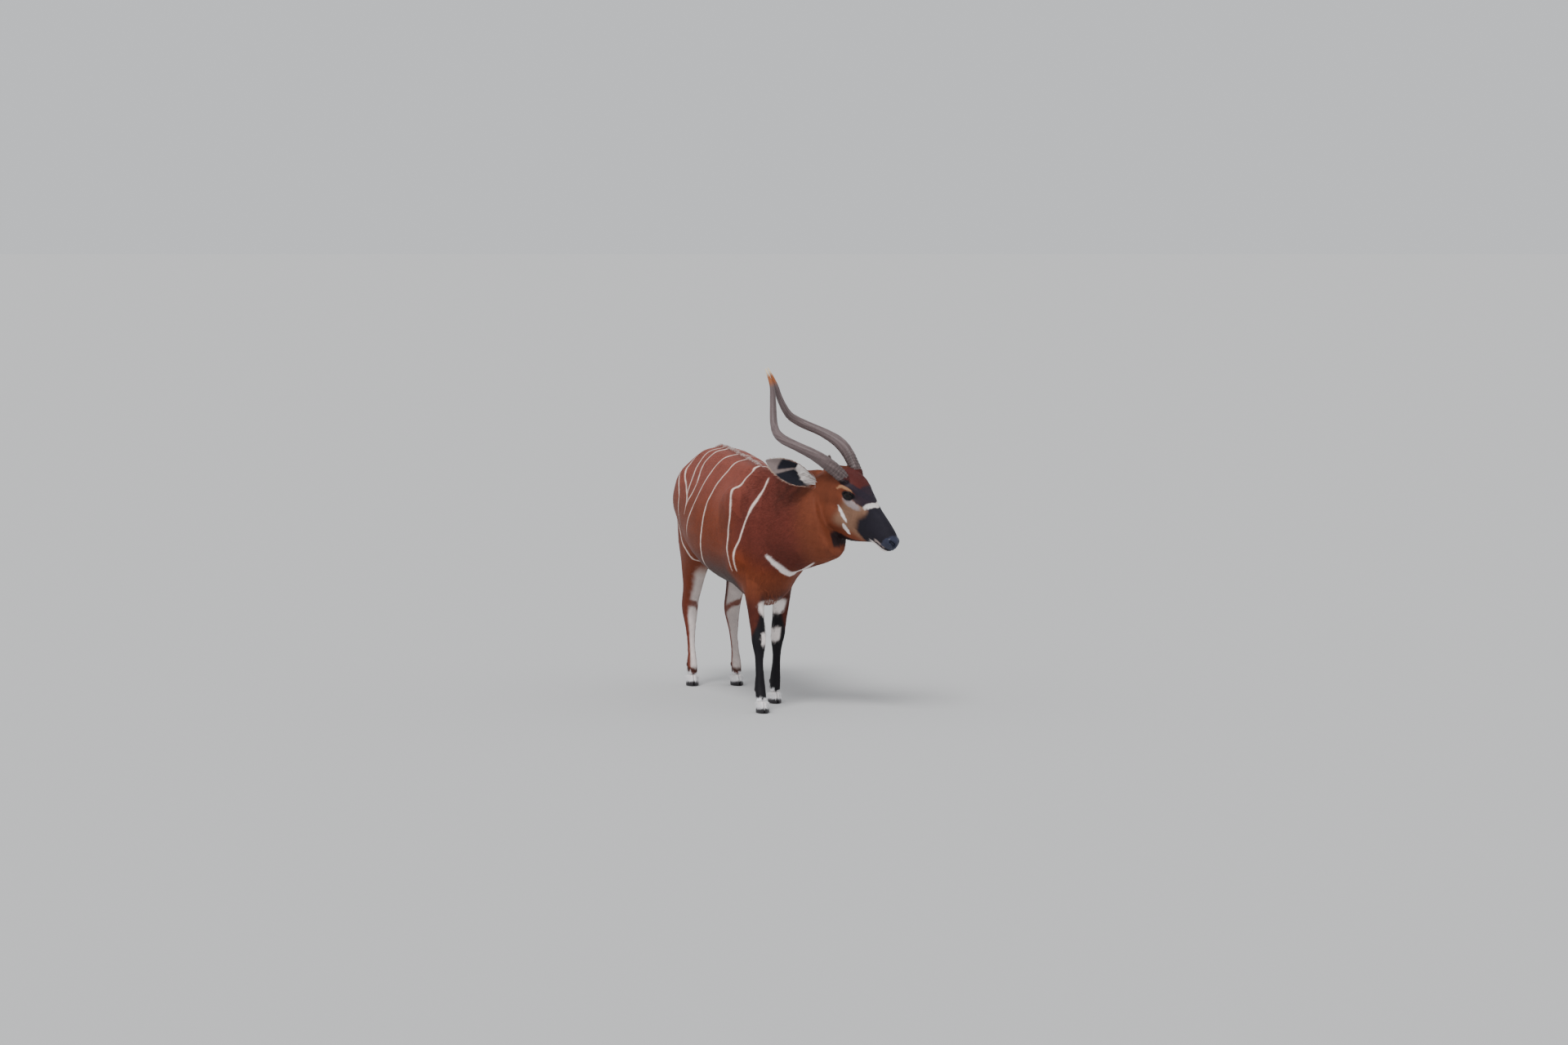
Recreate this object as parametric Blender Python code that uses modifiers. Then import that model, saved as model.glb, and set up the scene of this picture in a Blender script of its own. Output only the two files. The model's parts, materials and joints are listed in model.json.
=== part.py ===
"""A life-size standing bongo antelope, in metres, +Z up and +X towards its breast.

The body is lofted from outlines, joined into one form, and then parted by thin cuts into head, neck, torso, limbs
and tail. Eyes, ears, horns and hooves are solids of their own, each set against what it grows from.
"""

import math

import bmesh
import bpy
import numpy as np
from mathutils import Matrix, Vector, bvhtree

GAP = 0.0003
GOLDEN_ANGLE = math.pi * (3 - math.sqrt(5))

# Stance: where each hoof stands, as (x, y) of the middle of its sole.
HOOF_AT = {
    "fore_right": (0.730, -0.085),
    "fore_left": (0.335, 0.082),
    "hind_right": (-0.545, -0.132),
    "hind_left": (-0.500, 0.098),
}
# Where each limb leaves the body.
LIMB_TOP = {
    "fore_right": (0.520, -0.078),
    "fore_left": (0.430, 0.100),
    "hind_right": (-0.470, -0.130),
    "hind_left": (-0.470, 0.088),
}

# Head: its frame has +X along the skull to the nose, +Y to the animal's left and +Z out of the forehead.
HEAD_AT = (0.877, 0.239, 1.168)
HEAD_YAW, HEAD_PITCH, HEAD_ROLL = 45.0, 37.0, 8.0

EYE_AT = (0.145, 0.069, 0.022)
EYE_RADIUS = 0.0265
HORN_AT = (0.060, 0.0, 0.076)
EAR_AT = (-0.022, 0.072, -0.050)


def clear_scene():
    for item in list(bpy.data.objects):
        bpy.data.objects.remove(item)


def collection_named(name):
    made = bpy.data.collections.new(name)
    bpy.context.scene.collection.children.link(made)
    return made


def material(name, colour, roughness):
    made = bpy.data.materials.new(name)
    made.use_nodes = True
    shader = made.node_tree.nodes["Principled BSDF"]
    shader.inputs["Base Color"].default_value = (*colour, 1.0)
    shader.inputs["Roughness"].default_value = roughness
    return made


def spline_row(table, at):
    """The row of a table at a place along its first column, on a smooth curve through its rows."""
    keys = [row[0] for row in table]
    at = min(max(at, keys[0]), keys[-1])
    i = min(max(j for j, key in enumerate(keys) if key <= at), len(keys) - 2)
    rows = [np.array(table[min(max(i + k, 0), len(table) - 1)], float) for k in (-1, 0, 1, 2)]
    span = rows[2][0] - rows[1][0]
    t = (at - rows[1][0]) / span

    def slope(before, after):
        return (after - before) / max(after[0] - before[0], 1e-9)

    m1 = slope(rows[0], rows[2]) * span
    m2 = slope(rows[1], rows[3]) * span
    h = (2 * t**3 - 3 * t**2 + 1, t**3 - 2 * t**2 + t, -2 * t**3 + 3 * t**2, t**3 - t**2)
    return h[0] * rows[1] + h[1] * m1 + h[2] * rows[2] + h[3] * m2


def resample(table, count):
    low, high = table[0][0], table[-1][0]
    return [spline_row(table, low + (high - low) * k / (count - 1)) for k in range(count)]


def closed_curve(points, per_span):
    """A smooth closed curve through 2-D points."""
    n = len(points)
    found = []
    for i in range(n):
        p = [np.array(points[(i + k) % n], float) for k in (-1, 0, 1, 2)]
        for s in range(per_span):
            t = s / per_span
            found.append(
                0.5
                * (
                    2 * p[1]
                    + (p[2] - p[0]) * t
                    + (2 * p[0] - 5 * p[1] + 4 * p[2] - p[3]) * t**2
                    + (3 * p[1] - p[0] - 3 * p[2] + p[3]) * t**3
                )
            )
    return found


def body_section(top, top_w, top_drop, mid_w, mid_z, low_w, low_rise, bottom, per_span=4):
    """A section symmetric about its middle plane, from its top, shoulder, widest, lower and bottom places."""
    half = [(top_w, top - top_drop), (mid_w, mid_z), (low_w, bottom + low_rise)]
    other = [(-y, z) for y, z in reversed(half)]
    return closed_curve([(0, top), *half, (0, bottom), *other], per_span)


def link(mesh, name, where):
    made = bpy.data.objects.new(name, mesh)
    where.objects.link(made)
    return made


def loft(name, rings, where):
    """A closed mesh through rings of equal length, with fans of triangles at its ends."""
    bm = bmesh.new()
    rows = [[bm.verts.new(p) for p in ring] for ring in rings]
    n = len(rows[0])
    for a, b in zip(rows, rows[1:]):
        for k in range(n):
            bm.faces.new((a[k], a[(k + 1) % n], b[(k + 1) % n], b[k]))
    for row in (rows[0], rows[-1]):
        hub = bm.verts.new(sum((v.co for v in row), Vector()) / n)
        for k in range(n):
            bm.faces.new((row[k], row[(k + 1) % n], hub))
    bmesh.ops.recalc_face_normals(bm, faces=bm.faces)
    bmesh.ops.triangulate(bm, faces=bm.faces)
    mesh = bpy.data.meshes.new(name)
    bm.to_mesh(mesh)
    bm.free()
    return link(mesh, name, where)


def ball(name, at, radii, where, turn=None, around=24):
    """An ellipsoid."""
    bm = bmesh.new()
    bmesh.ops.create_uvsphere(bm, u_segments=around, v_segments=around // 2, radius=1)
    mesh = bpy.data.meshes.new(name)
    matrix = Matrix.Translation(at) @ (turn or Matrix()) @ Matrix.Diagonal((*radii, 1))
    bm.transform(matrix)
    bm.to_mesh(mesh)
    bm.free()
    return link(mesh, name, where)


# Torso: x, top, shoulder half-width and drop, widest half-width and height, lower half-width and rise, bottom.
TORSO = [
    (-0.740, 1.040, 0.050, 0.025, 0.095, 0.985, 0.070, 0.030, 0.915),
    (-0.705, 1.120, 0.085, 0.030, 0.170, 0.985, 0.135, 0.060, 0.850),
    (-0.620, 1.205, 0.112, 0.035, 0.222, 1.005, 0.180, 0.100, 0.780),
    (-0.500, 1.255, 0.124, 0.038, 0.244, 1.010, 0.200, 0.130, 0.725),
    (-0.360, 1.262, 0.128, 0.040, 0.252, 0.980, 0.210, 0.140, 0.660),
    (-0.200, 1.253, 0.130, 0.042, 0.266, 0.935, 0.225, 0.140, 0.602),
    (0.000, 1.236, 0.128, 0.045, 0.275, 0.900, 0.225, 0.125, 0.572),
    (0.180, 1.220, 0.110, 0.045, 0.258, 0.890, 0.205, 0.120, 0.565),
    (0.330, 1.212, 0.085, 0.045, 0.228, 0.890, 0.180, 0.120, 0.538),
    (0.450, 1.202, 0.072, 0.050, 0.200, 0.890, 0.155, 0.115, 0.510),
    (0.550, 1.140, 0.060, 0.055, 0.165, 0.870, 0.130, 0.100, 0.528),
    (0.625, 1.000, 0.045, 0.050, 0.120, 0.840, 0.095, 0.070, 0.600),
    (0.668, 0.910, 0.030, 0.030, 0.070, 0.810, 0.050, 0.030, 0.690),
]


TORSO_ROWS, NECK_ROWS, HEAD_ROWS = 48, 22, 40


def torso(where):
    rings = [
        [(row[0], y, z) for y, z in body_section(*row[1:])] for row in resample(TORSO, TORSO_ROWS)
    ]
    return loft("torso_form", rings, where)


# Neck: place along it, x, y, z of its middle, then a section about that middle as for the torso.
NECK = [
    (0.00, 0.400, 0.000, 0.935, 0.262, 0.060, 0.040, 0.170, -0.03, 0.125, 0.090, -0.300),
    (0.25, 0.530, 0.035, 0.955, 0.250, 0.055, 0.040, 0.165, -0.03, 0.120, 0.090, -0.300),
    (0.50, 0.650, 0.095, 0.985, 0.222, 0.052, 0.035, 0.147, -0.03, 0.108, 0.085, -0.298),
    (0.75, 0.755, 0.160, 1.020, 0.190, 0.052, 0.030, 0.128, -0.04, 0.094, 0.080, -0.294),
    (1.00, 0.845, 0.220, 1.050, 0.165, 0.055, 0.028, 0.108, -0.04, 0.080, 0.072, -0.282),
]


def neck(where):
    rows = resample(NECK, NECK_ROWS)
    middles = [Vector(row[1:4]) for row in rows]
    rings = []
    for k, row in enumerate(rows):
        along = (middles[min(k + 1, len(rows) - 1)] - middles[max(k - 1, 0)]).normalized()
        left = Vector((0, 0, 1)).cross(along).normalized()
        up = along.cross(left)
        rings.append([middles[k] + left * y + up * z for y, z in body_section(*row[4:])])
    return loft("neck_form", rings, where)


# Head, in its own frame: the same columns as the torso.
HEAD = [
    (-0.065, 0.010, 0.040, 0.020, 0.065, -0.050, 0.045, 0.040, -0.130),
    (-0.035, 0.055, 0.048, 0.018, 0.082, -0.040, 0.060, 0.045, -0.165),
    (0.010, 0.082, 0.054, 0.015, 0.090, -0.020, 0.068, 0.045, -0.190),
    (0.060, 0.095, 0.060, 0.014, 0.092, 0.000, 0.066, 0.050, -0.206),
    (0.110, 0.100, 0.064, 0.014, 0.094, 0.010, 0.060, 0.052, -0.216),
    (0.155, 0.092, 0.060, 0.014, 0.090, 0.008, 0.054, 0.055, -0.222),
    (0.200, 0.074, 0.050, 0.013, 0.080, -0.005, 0.047, 0.060, -0.221),
    (0.250, 0.055, 0.038, 0.011, 0.066, -0.022, 0.040, 0.056, -0.205),
    (0.300, 0.037, 0.030, 0.010, 0.054, -0.035, 0.034, 0.040, -0.168),
    (0.350, 0.023, 0.027, 0.009, 0.049, -0.042, 0.032, 0.026, -0.128),
    (0.400, 0.007, 0.026, 0.009, 0.048, -0.045, 0.032, 0.022, -0.114),
    (0.435, -0.008, 0.025, 0.009, 0.045, -0.048, 0.028, 0.018, -0.108),
    (0.460, -0.024, 0.019, 0.008, 0.034, -0.050, 0.018, 0.014, -0.095),
    (0.472, -0.036, 0.009, 0.005, 0.016, -0.052, 0.008, 0.008, -0.078),
]


def head_matrix():
    turn = Matrix.Rotation(math.radians(HEAD_YAW), 4, "Z")
    turn = turn @ Matrix.Rotation(math.radians(HEAD_PITCH), 4, "Y")
    turn = turn @ Matrix.Rotation(math.radians(HEAD_ROLL), 4, "X")
    return Matrix.Translation(HEAD_AT) @ turn


def head(where):
    place = head_matrix()
    rings = [
        [place @ Vector((row[0], y, z)) for y, z in body_section(*row[1:])]
        for row in resample(HEAD, HEAD_ROWS)
    ]
    return loft("head_form", rings, where)


# Limbs: height, front and back edges about the limb's own line, outer and inner edges about it.
FORELEG = [
    (0.000, 0.030, -0.030, 0.034, -0.034),
    (0.085, 0.016, -0.040, 0.029, -0.029),
    (0.125, 0.010, -0.052, 0.031, -0.031),
    (0.160, 0.010, -0.046, 0.026, -0.027),
    (0.240, 0.012, -0.036, 0.023, -0.026),
    (0.300, 0.018, -0.037, 0.028, -0.035),
    (0.345, 0.030, -0.039, 0.036, -0.044),
    (0.390, 0.032, -0.038, 0.037, -0.043),
    (0.460, 0.036, -0.042, 0.043, -0.040),
    (0.540, 0.046, -0.056, 0.052, -0.044),
    (0.620, 0.062, -0.084, 0.062, -0.052),
    (0.700, 0.084, -0.110, 0.070, -0.060),
    (0.800, 0.110, -0.125, 0.080, -0.070),
    (0.950, 0.110, -0.110, 0.070, -0.070),
    (1.080, 0.060, -0.090, 0.045, -0.060),
]
HINDLEG = [
    (0.000, 0.030, -0.030, 0.033, -0.033),
    (0.085, 0.022, -0.036, 0.029, -0.029),
    (0.125, 0.010, -0.052, 0.030, -0.030),
    (0.165, -0.004, -0.056, 0.025, -0.025),
    (0.250, -0.032, -0.086, 0.024, -0.026),
    (0.320, -0.045, -0.112, 0.031, -0.034),
    (0.370, -0.044, -0.145, 0.038, -0.042),
    (0.415, -0.030, -0.160, 0.043, -0.044),
    (0.455, -0.006, -0.146, 0.046, -0.044),
    (0.520, 0.046, -0.106, 0.053, -0.048),
    (0.600, 0.115, -0.090, 0.068, -0.056),
    (0.680, 0.205, -0.095, 0.085, -0.068),
    (0.760, 0.250, -0.125, 0.098, -0.078),
    (0.880, 0.235, -0.150, 0.098, -0.080),
    (1.000, 0.180, -0.145, 0.092, -0.070),
    (1.110, 0.110, -0.100, 0.060, -0.060),
]
LIMB_OUTLINE = {"fore": FORELEG, "hind": HINDLEG}
LIMB_ROWS, LIMB_SIDES = 60, 24
LIMB_SQUARENESS = 0.9
SWING_FROM = {"fore": 0.74, "hind": 0.90}


def limb_middle(foot, z):
    """The point of a limb's own line at a height: it swings from its pivot to its hoof."""
    pivot = SWING_FROM[foot[:4]]
    down = max(pivot - z, 0) / pivot
    (top_x, top_y), (hoof_x, hoof_y) = LIMB_TOP[foot], HOOF_AT[foot]
    return Vector((top_x + (hoof_x - top_x) * down, top_y + (hoof_y - top_y) * down, z))


def limb_centre(foot, z):
    """The middle of a limb's section at a height."""
    _, front, back, outer, inner = spline_row(LIMB_OUTLINE[foot[:4]], z)
    return limb_middle(foot, z) + Vector(((front + back) / 2, side_sign(foot) * (outer + inner) / 2, 0))


def side_sign(name):
    return 1 if name.endswith("left") else -1


def limb(foot, where):
    rings = []
    for z, front, back, outer, inner in resample(LIMB_OUTLINE[foot[:4]], LIMB_ROWS):
        middle = limb_centre(foot, z)
        depth, wide = (front - back) / 2, (outer - inner) / 2
        ring = []
        for k in range(LIMB_SIDES):
            c, s = math.cos(math.tau * k / LIMB_SIDES), math.sin(math.tau * k / LIMB_SIDES)
            x = depth * math.copysign(abs(c) ** LIMB_SQUARENESS, c)
            y = wide * math.copysign(abs(s) ** LIMB_SQUARENESS, s)
            ring.append(middle + Vector((x, y, 0)))
        rings.append(ring)
    return loft(f"{foot}_form", rings, where)


# Muscles on each side: place and radii.
MUSCLES = {
    "shoulder_blade": ((0.38, 0.150, 0.93), (0.150, 0.062, 0.190)),
    "upper_arm": ((0.46, 0.145, 0.76), (0.130, 0.070, 0.120)),
    "haunch": ((-0.47, 0.150, 1.00), (0.210, 0.090, 0.180)),
}


def muscles(where):
    for name, ((x, y, z), radii) in MUSCLES.items():
        for sign in (-1, 1):
            ball(name, (x, sign * y, z), radii, where)


def sweep(name, middles, section, where, side_hint=(0, 0, 1)):
    """A loft along a path. section(k, t) gives the ring's (side, up) offsets at row k, a share t along."""
    rings = []
    last = len(middles) - 1
    for k, middle in enumerate(middles):
        along = (middles[min(k + 1, last)] - middles[max(k - 1, 0)]).normalized()
        side = Vector(side_hint).cross(along).normalized()
        up = along.cross(side)
        rings.append([middle + side * a + up * b for a, b in section(k, k / last)])
    return loft(name, rings, where)


def level_matrix():
    """The head's place with its yaw only: +X ahead, +Y to its left, +Z up."""
    turn = Matrix.Rotation(math.radians(HEAD_YAW), 4, "Z")
    return Matrix.Translation(head_matrix() @ Vector(HORN_AT)) @ turn


# Horns: place along one, back and up from between the bases, half the spread, radius.
HORN = [
    (0.00, 0.012, -0.048, 0.050, 0.0260),
    (0.06, 0.000, -0.004, 0.064, 0.0330),
    (0.18, -0.056, 0.070, 0.100, 0.0310),
    (0.30, -0.119, 0.122, 0.122, 0.0282),
    (0.42, -0.209, 0.166, 0.131, 0.0255),
    (0.54, -0.289, 0.198, 0.126, 0.0230),
    (0.62, -0.335, 0.226, 0.108, 0.0213),
    (0.70, -0.366, 0.268, 0.074, 0.0195),
    (0.80, -0.385, 0.355, 0.035, 0.0163),
    (0.90, -0.395, 0.434, 0.018, 0.0112),
    (1.00, -0.428, 0.518, 0.011, 0.0028),
]
HORN_ROWS, HORN_SIDES = 34, 12
# The pair's spread tilts a little more than the head rolls.
HORN_TILT = 13.0
HORN_TWIST = 420.0
HORN_KEEL = 0.13
HORN_RIDGES = 0.035


def horn(side, where):
    sign = 1 if side == "left" else -1
    place = level_matrix()
    lean = Matrix.Rotation(math.radians(HEAD_ROLL), 4, "X")
    tilt = Matrix.Rotation(math.radians(HORN_TILT), 4, "X")
    rows = resample(HORN, HORN_ROWS)
    middles = [
        place @ (lean @ Vector((row[1], 0, row[2])) + tilt @ Vector((0, sign * row[3], 0)))
        for row in rows
    ]

    def section(k, t):
        ring = []
        ridge = HORN_RIDGES * (1 - t) ** 1.5 * (1 if k % 2 else -1)
        for j in range(HORN_SIDES):
            a = 2 * math.pi * j / HORN_SIDES
            keel = HORN_KEEL * (1 - t) * math.cos(2 * (a - sign * math.radians(HORN_TWIST) * t))
            r = rows[k][4] * (1 + ridge + keel)
            ring.append((r * math.cos(a), r * math.sin(a)))
        return ring

    return sweep(f"horn_{side}", middles, section, where)


# Ears: each one's direction and where its cup faces, ahead, to the left and up.
EAR_POSE = {
    "right": ((-0.205, -0.160, 0.125), (0.44, -0.90, 0.10)),
    "left": ((-0.150, 0.200, 0.090), (0.75, 0.60, -0.10)),
}
EAR_LENGTH = 0.285
# Share along, half-width, depth of the cup, thickness.
EAR = [
    (0.00, 0.022, 0.000, 0.040),
    (0.08, 0.027, 0.010, 0.036),
    (0.18, 0.036, 0.022, 0.020),
    (0.32, 0.053, 0.032, 0.010),
    (0.48, 0.061, 0.031, 0.008),
    (0.64, 0.057, 0.024, 0.007),
    (0.80, 0.042, 0.015, 0.006),
    (0.92, 0.023, 0.007, 0.005),
    (1.00, 0.006, 0.002, 0.003),
]
EAR_ROWS, EAR_SPAN = 14, 6


def ear(side, where):
    sign = 1 if side == "left" else -1
    turn = Matrix.Rotation(math.radians(HEAD_YAW), 4, "Z")
    direction, faces = (turn @ Vector(v) for v in EAR_POSE[side])
    direction.normalize()
    out = (faces - direction * faces.dot(direction)).normalized()
    across = direction.cross(out)
    root = head_matrix() @ Vector((EAR_AT[0], sign * EAR_AT[1], EAR_AT[2]))
    rings = []
    for share, half, cup, thick in resample(EAR, EAR_ROWS):
        middle = root + direction * EAR_LENGTH * share
        ring = []
        for j in range(EAR_SPAN + 1):
            u = 2 * j / EAR_SPAN - 1
            bow = cup * (1 - u * u)
            ring.append(middle + across * half * u - out * (bow + thick * (1 - 0.75 * u * u)))
        for j in range(EAR_SPAN - 1, 0, -1):
            u = 2 * j / EAR_SPAN - 1
            ring.append(middle + across * half * 0.94 * u - out * cup * (1 - u * u))
        rings.append(ring)
    return loft(f"ear_{side}", rings, where)


def eye_place(side):
    sign = 1 if side == "left" else -1
    return head_matrix() @ Vector((EYE_AT[0], sign * EYE_AT[1], EYE_AT[2]))


def eye(side, where):
    bm = bmesh.new()
    bmesh.ops.create_uvsphere(bm, u_segments=14, v_segments=9, radius=EYE_RADIUS)
    bm.transform(Matrix.Translation(eye_place(side)))
    mesh = bpy.data.meshes.new(f"eye_{side}")
    bm.to_mesh(mesh)
    bm.free()
    return link(mesh, f"eye_{side}", where)


# Tail: place along it, x, y, z, radius.
TAIL = [
    (0.00, -0.690, 0.000, 1.060, 0.026),
    (0.10, -0.745, -0.004, 1.035, 0.024),
    (0.22, -0.772, -0.012, 0.965, 0.019),
    (0.45, -0.776, -0.034, 0.840, 0.014),
    (0.65, -0.768, -0.052, 0.720, 0.013),
    (0.76, -0.764, -0.060, 0.650, 0.021),
    (0.88, -0.762, -0.064, 0.580, 0.023),
    (1.00, -0.762, -0.064, 0.500, 0.004),
]
TAIL_ROWS, TAIL_SIDES = 20, 8
# Tuft: how many locks, where along the tail they spring, and their length, width and thickness.
TUFT_LOCKS = 16
TUFT_FROM, TUFT_TO = 0.70, 0.97
TUFT_LOCK = (0.110, 0.019, 0.007)


def lock(name, root, direction, flat, size, where):
    """One flat lock of hair: it tapers from its root to a tip, with its width across the flat direction."""
    length, width, thick = size
    direction = direction.normalized()
    across = direction.cross(flat).normalized()
    flat = across.cross(direction)
    rings = []
    for share, w, t in ((0.0, 0.85, 1.0), (0.45, 1.0, 0.9), (0.80, 0.62, 0.6), (1.0, 0.16, 0.16)):
        middle = root + direction * length * share
        a, b = across * width * w / 2, flat * thick * t / 2
        rings.append([middle + a, middle + b, middle - a, middle - b])
    return loft(name, rings, where)


def tail(where):
    rows = resample(TAIL, TAIL_ROWS)
    middles = [Vector(row[1:4]) for row in rows]

    def section(k, t):
        angles = [math.tau * j / TAIL_SIDES for j in range(TAIL_SIDES)]
        return [(rows[k][4] * math.cos(a), rows[k][4] * math.sin(a)) for a in angles]

    made = sweep("tail", middles, section, where, side_hint=(1, 0, 0))
    locks = collection_named("tuft")
    rng = np.random.default_rng(7)
    for k in range(TUFT_LOCKS):
        share = TUFT_FROM + (TUFT_TO - TUFT_FROM) * (k + 0.5) / TUFT_LOCKS
        row = spline_row(TAIL, share)
        below = Vector(spline_row(TAIL, min(share + 0.05, 1.0))[1:4])
        middle = Vector(row[1:4])
        around = k * GOLDEN_ANGLE + rng.uniform(-0.3, 0.3)
        outward = Vector((math.cos(around), math.sin(around), 0))
        direction = (below - middle).normalized() + outward * rng.uniform(0.10, 0.22)
        length, width, thick = TUFT_LOCK
        size = (length * rng.uniform(0.8, 1.1) * (1.25 - 0.5 * k / TUFT_LOCKS), width, thick)
        lock(f"lock_{k}", middle + outward * row[4] * 0.55, direction, outward, size, locks)
    boolean(made, locks, "UNION")
    discard(locks)
    keep_largest(made)
    return made


# Crest: where it starts and ends along the back, and its locks' number, length, width and thickness.
CREST_FROM, CREST_TO = 0.35, -0.62
CREST_LOCKS = 54
CREST_LOCK = (0.046, 0.021, 0.007)
CREST_LEAN = 0.95


def crest(body_form, where):
    """The bristling locks along the spine, each rooted in the back and leaning to the rear."""
    tree = bvhtree.BVHTree.FromObject(body_form, bpy.context.evaluated_depsgraph_get())
    rng = np.random.default_rng(11)
    for k in range(CREST_LOCKS):
        share = k / (CREST_LOCKS - 1)
        x = CREST_FROM + (CREST_TO - CREST_FROM) * share
        y = rng.uniform(-0.004, 0.004)
        top = tree.ray_cast(Vector((x, y, 2.0)), Vector((0, 0, -1)))[0]
        ends = min(1.0, 0.55 + 4 * share, 0.55 + 4 * (1 - share))
        length, width, thick = CREST_LOCK
        direction = Vector((-CREST_LEAN, rng.uniform(-0.10, 0.10), 1.0))
        size = (length * ends * rng.uniform(0.9, 1.08), width, thick)
        root = top - Vector((-CREST_LEAN, 0, 1)).normalized() * 0.016
        lock(f"crest_{k}", root, direction, Vector((0, 1, 0)), size, where)


# One claw of a hoof seen from below, as (ahead of the foot's middle, out from the cleft).
CLAW_SOLE = [(-0.036, 0.006), (-0.036, 0.020), (-0.018, 0.032), (0.012, 0.032), (0.036, 0.021),
             (0.052, 0.007), (0.044, 0.002), (0.002, 0.0022)]
# Height, share of the sole's length and width, and shift backwards.
CLAW_ROWS = [(0.000, 1.00, 1.00, 0.000), (0.012, 0.97, 1.00, -0.001), (0.034, 0.87, 0.98, -0.007),
             (0.054, 0.76, 0.94, -0.013)]
CORONET_SLOPE = 0.22
CORONET = CLAW_ROWS[-1][0]


def foot_matrix(foot):
    x, y = HOOF_AT[foot]
    out = 4.0 if foot.endswith("left") else -4.0
    return Matrix.Translation((x, y, 0)) @ Matrix.Rotation(math.radians(out), 4, "Z")


def claw(foot, hand, where):
    sign = 1 if hand == "left" else -1
    place = foot_matrix(foot)
    outline = closed_curve(CLAW_SOLE, 2)
    rings = []
    for height, long, wide, back in CLAW_ROWS:
        ring = []
        for ahead, out in outline:
            x = ahead * long + back
            z = height * (1 + CORONET_SLOPE * (x - CLAW_ROWS[-1][3]) / CORONET)
            ring.append(place @ Vector((x, sign * out * wide, z)))
        rings.append(ring)
    return loft(f"claw_{foot}_{hand}", rings, where)


DEWCLAW_AT = {"fore": (-0.050, 0.015, 0.108), "hind": (-0.050, 0.015, 0.108)}
DEWCLAW_SIZE = (0.010, 0.009, 0.014)


def dewclaw(foot, hand, where):
    sign = 1 if hand == "left" else -1
    x, y, z = DEWCLAW_AT[foot[:4]]
    centre = limb_middle(foot, z) + Vector((x, sign * y, 0))
    bm = bmesh.new()
    bmesh.ops.create_uvsphere(bm, u_segments=7, v_segments=5, radius=1)
    turn = Matrix.Rotation(math.radians(-25), 4, "Y")
    bm.transform(Matrix.Translation(centre) @ turn @ Matrix.Diagonal((*DEWCLAW_SIZE, 1)))
    name = f"dewclaw_{foot}_{hand}"
    mesh = bpy.data.meshes.new(name)
    bm.to_mesh(mesh)
    bm.free()
    return link(mesh, name, where)


def apply_modifier(thing, kind, **settings):
    made = thing.modifiers.new(kind, kind)
    for key, value in settings.items():
        setattr(made, key, value)
    with bpy.context.temp_override(object=thing, active_object=thing, selected_objects=[thing]):
        bpy.ops.object.modifier_apply(modifier=made.name)


# Masses of the face in the head's frame: place (mirrored where it is off the middle) and radii.
FACE = [
    ((0.450, 0.000, -0.040), (0.023, 0.031, 0.024)),
    ((0.418, 0.019, -0.070), (0.042, 0.021, 0.018)),
    ((0.412, 0.000, -0.106), (0.037, 0.026, 0.015)),
    ((0.135, 0.066, 0.046), (0.040, 0.024, 0.020)),
    ((0.130, 0.058, -0.110), (0.090, 0.034, 0.075)),
    ((0.060, 0.052, 0.060), (0.042, 0.036, 0.037)),
]


def face(where):
    place = head_matrix()
    turn = place.to_3x3().to_4x4()
    for (x, y, z), radii in FACE:
        for sign in (-1, 1) if y else (1,):
            ball("face", place @ Vector((x, sign * y, z)), radii, where, turn)


def build_forms():
    forms = collection_named("forms")
    torso(forms)
    neck(forms)
    head(forms)
    face(forms)
    for foot in HOOF_AT:
        limb(foot, forms)
    muscles(forms)
    return forms


def joined(name, things, where):
    """One mesh of the given objects' surfaces; the objects themselves are removed."""
    bm = bmesh.new()
    for thing in things:
        bm.from_mesh(thing.data)
    mesh = bpy.data.meshes.new(name)
    bm.to_mesh(mesh)
    bm.free()
    for thing in list(things):
        bpy.data.objects.remove(thing)
    return link(mesh, name, where)


def weigh(thing, name, weight_at):
    group = thing.vertex_groups.new(name=name)
    for vertex in thing.data.vertices:
        group.add([vertex.index], weight_at(vertex.co), "REPLACE")


def ramp(value, low, high):
    t = min(max((value - low) / (high - low), 0.0), 1.0)
    return t * t * (3 - 2 * t)


def body_softness(co):
    """How freely the joined body may be smoothed: the trunk wholly, the limbs and the face hardly."""
    off_face = ramp((co - Vector(HEAD_AT)).length, 0.14, 0.36)
    from_limbs = ramp(co.z, 0.45, 0.75)
    along = (head_matrix().inverted() @ co).x
    if along > 0.20:
        return 0.08 - 0.05 * ramp(along, 0.28, 0.42)
    return max(off_face * from_limbs, 0.08)


def sparseness(co):
    """How few faces a place may keep."""
    local = head_matrix().inverted() @ co
    if local.x > 0 and abs(local.y) < 0.12 and -0.22 < local.z < 0.13:
        return 0.45 if local.x > 0.34 else 0.8
    return 0.75 if co.z < 0.60 else 1.0


VOXEL = 0.005
SMOOTHING = 220
BODY_FACES = 4700


def body(where):
    made = joined("body", build_forms().objects, where)
    apply_modifier(made, "REMESH", mode="VOXEL", voxel_size=VOXEL)
    weigh(made, "soft", body_softness)
    apply_modifier(made, "SMOOTH", factor=0.5, iterations=SMOOTHING, vertex_group="soft")
    weigh(made, "sparse", sparseness)
    faces = 2 * len(made.data.polygons)
    apply_modifier(
        made,
        "DECIMATE",
        ratio=BODY_FACES / faces,
        vertex_group="sparse",
        vertex_group_factor=2.0,
        use_collapse_triangulate=True,
    )
    made.vertex_groups.clear()
    return made


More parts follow.
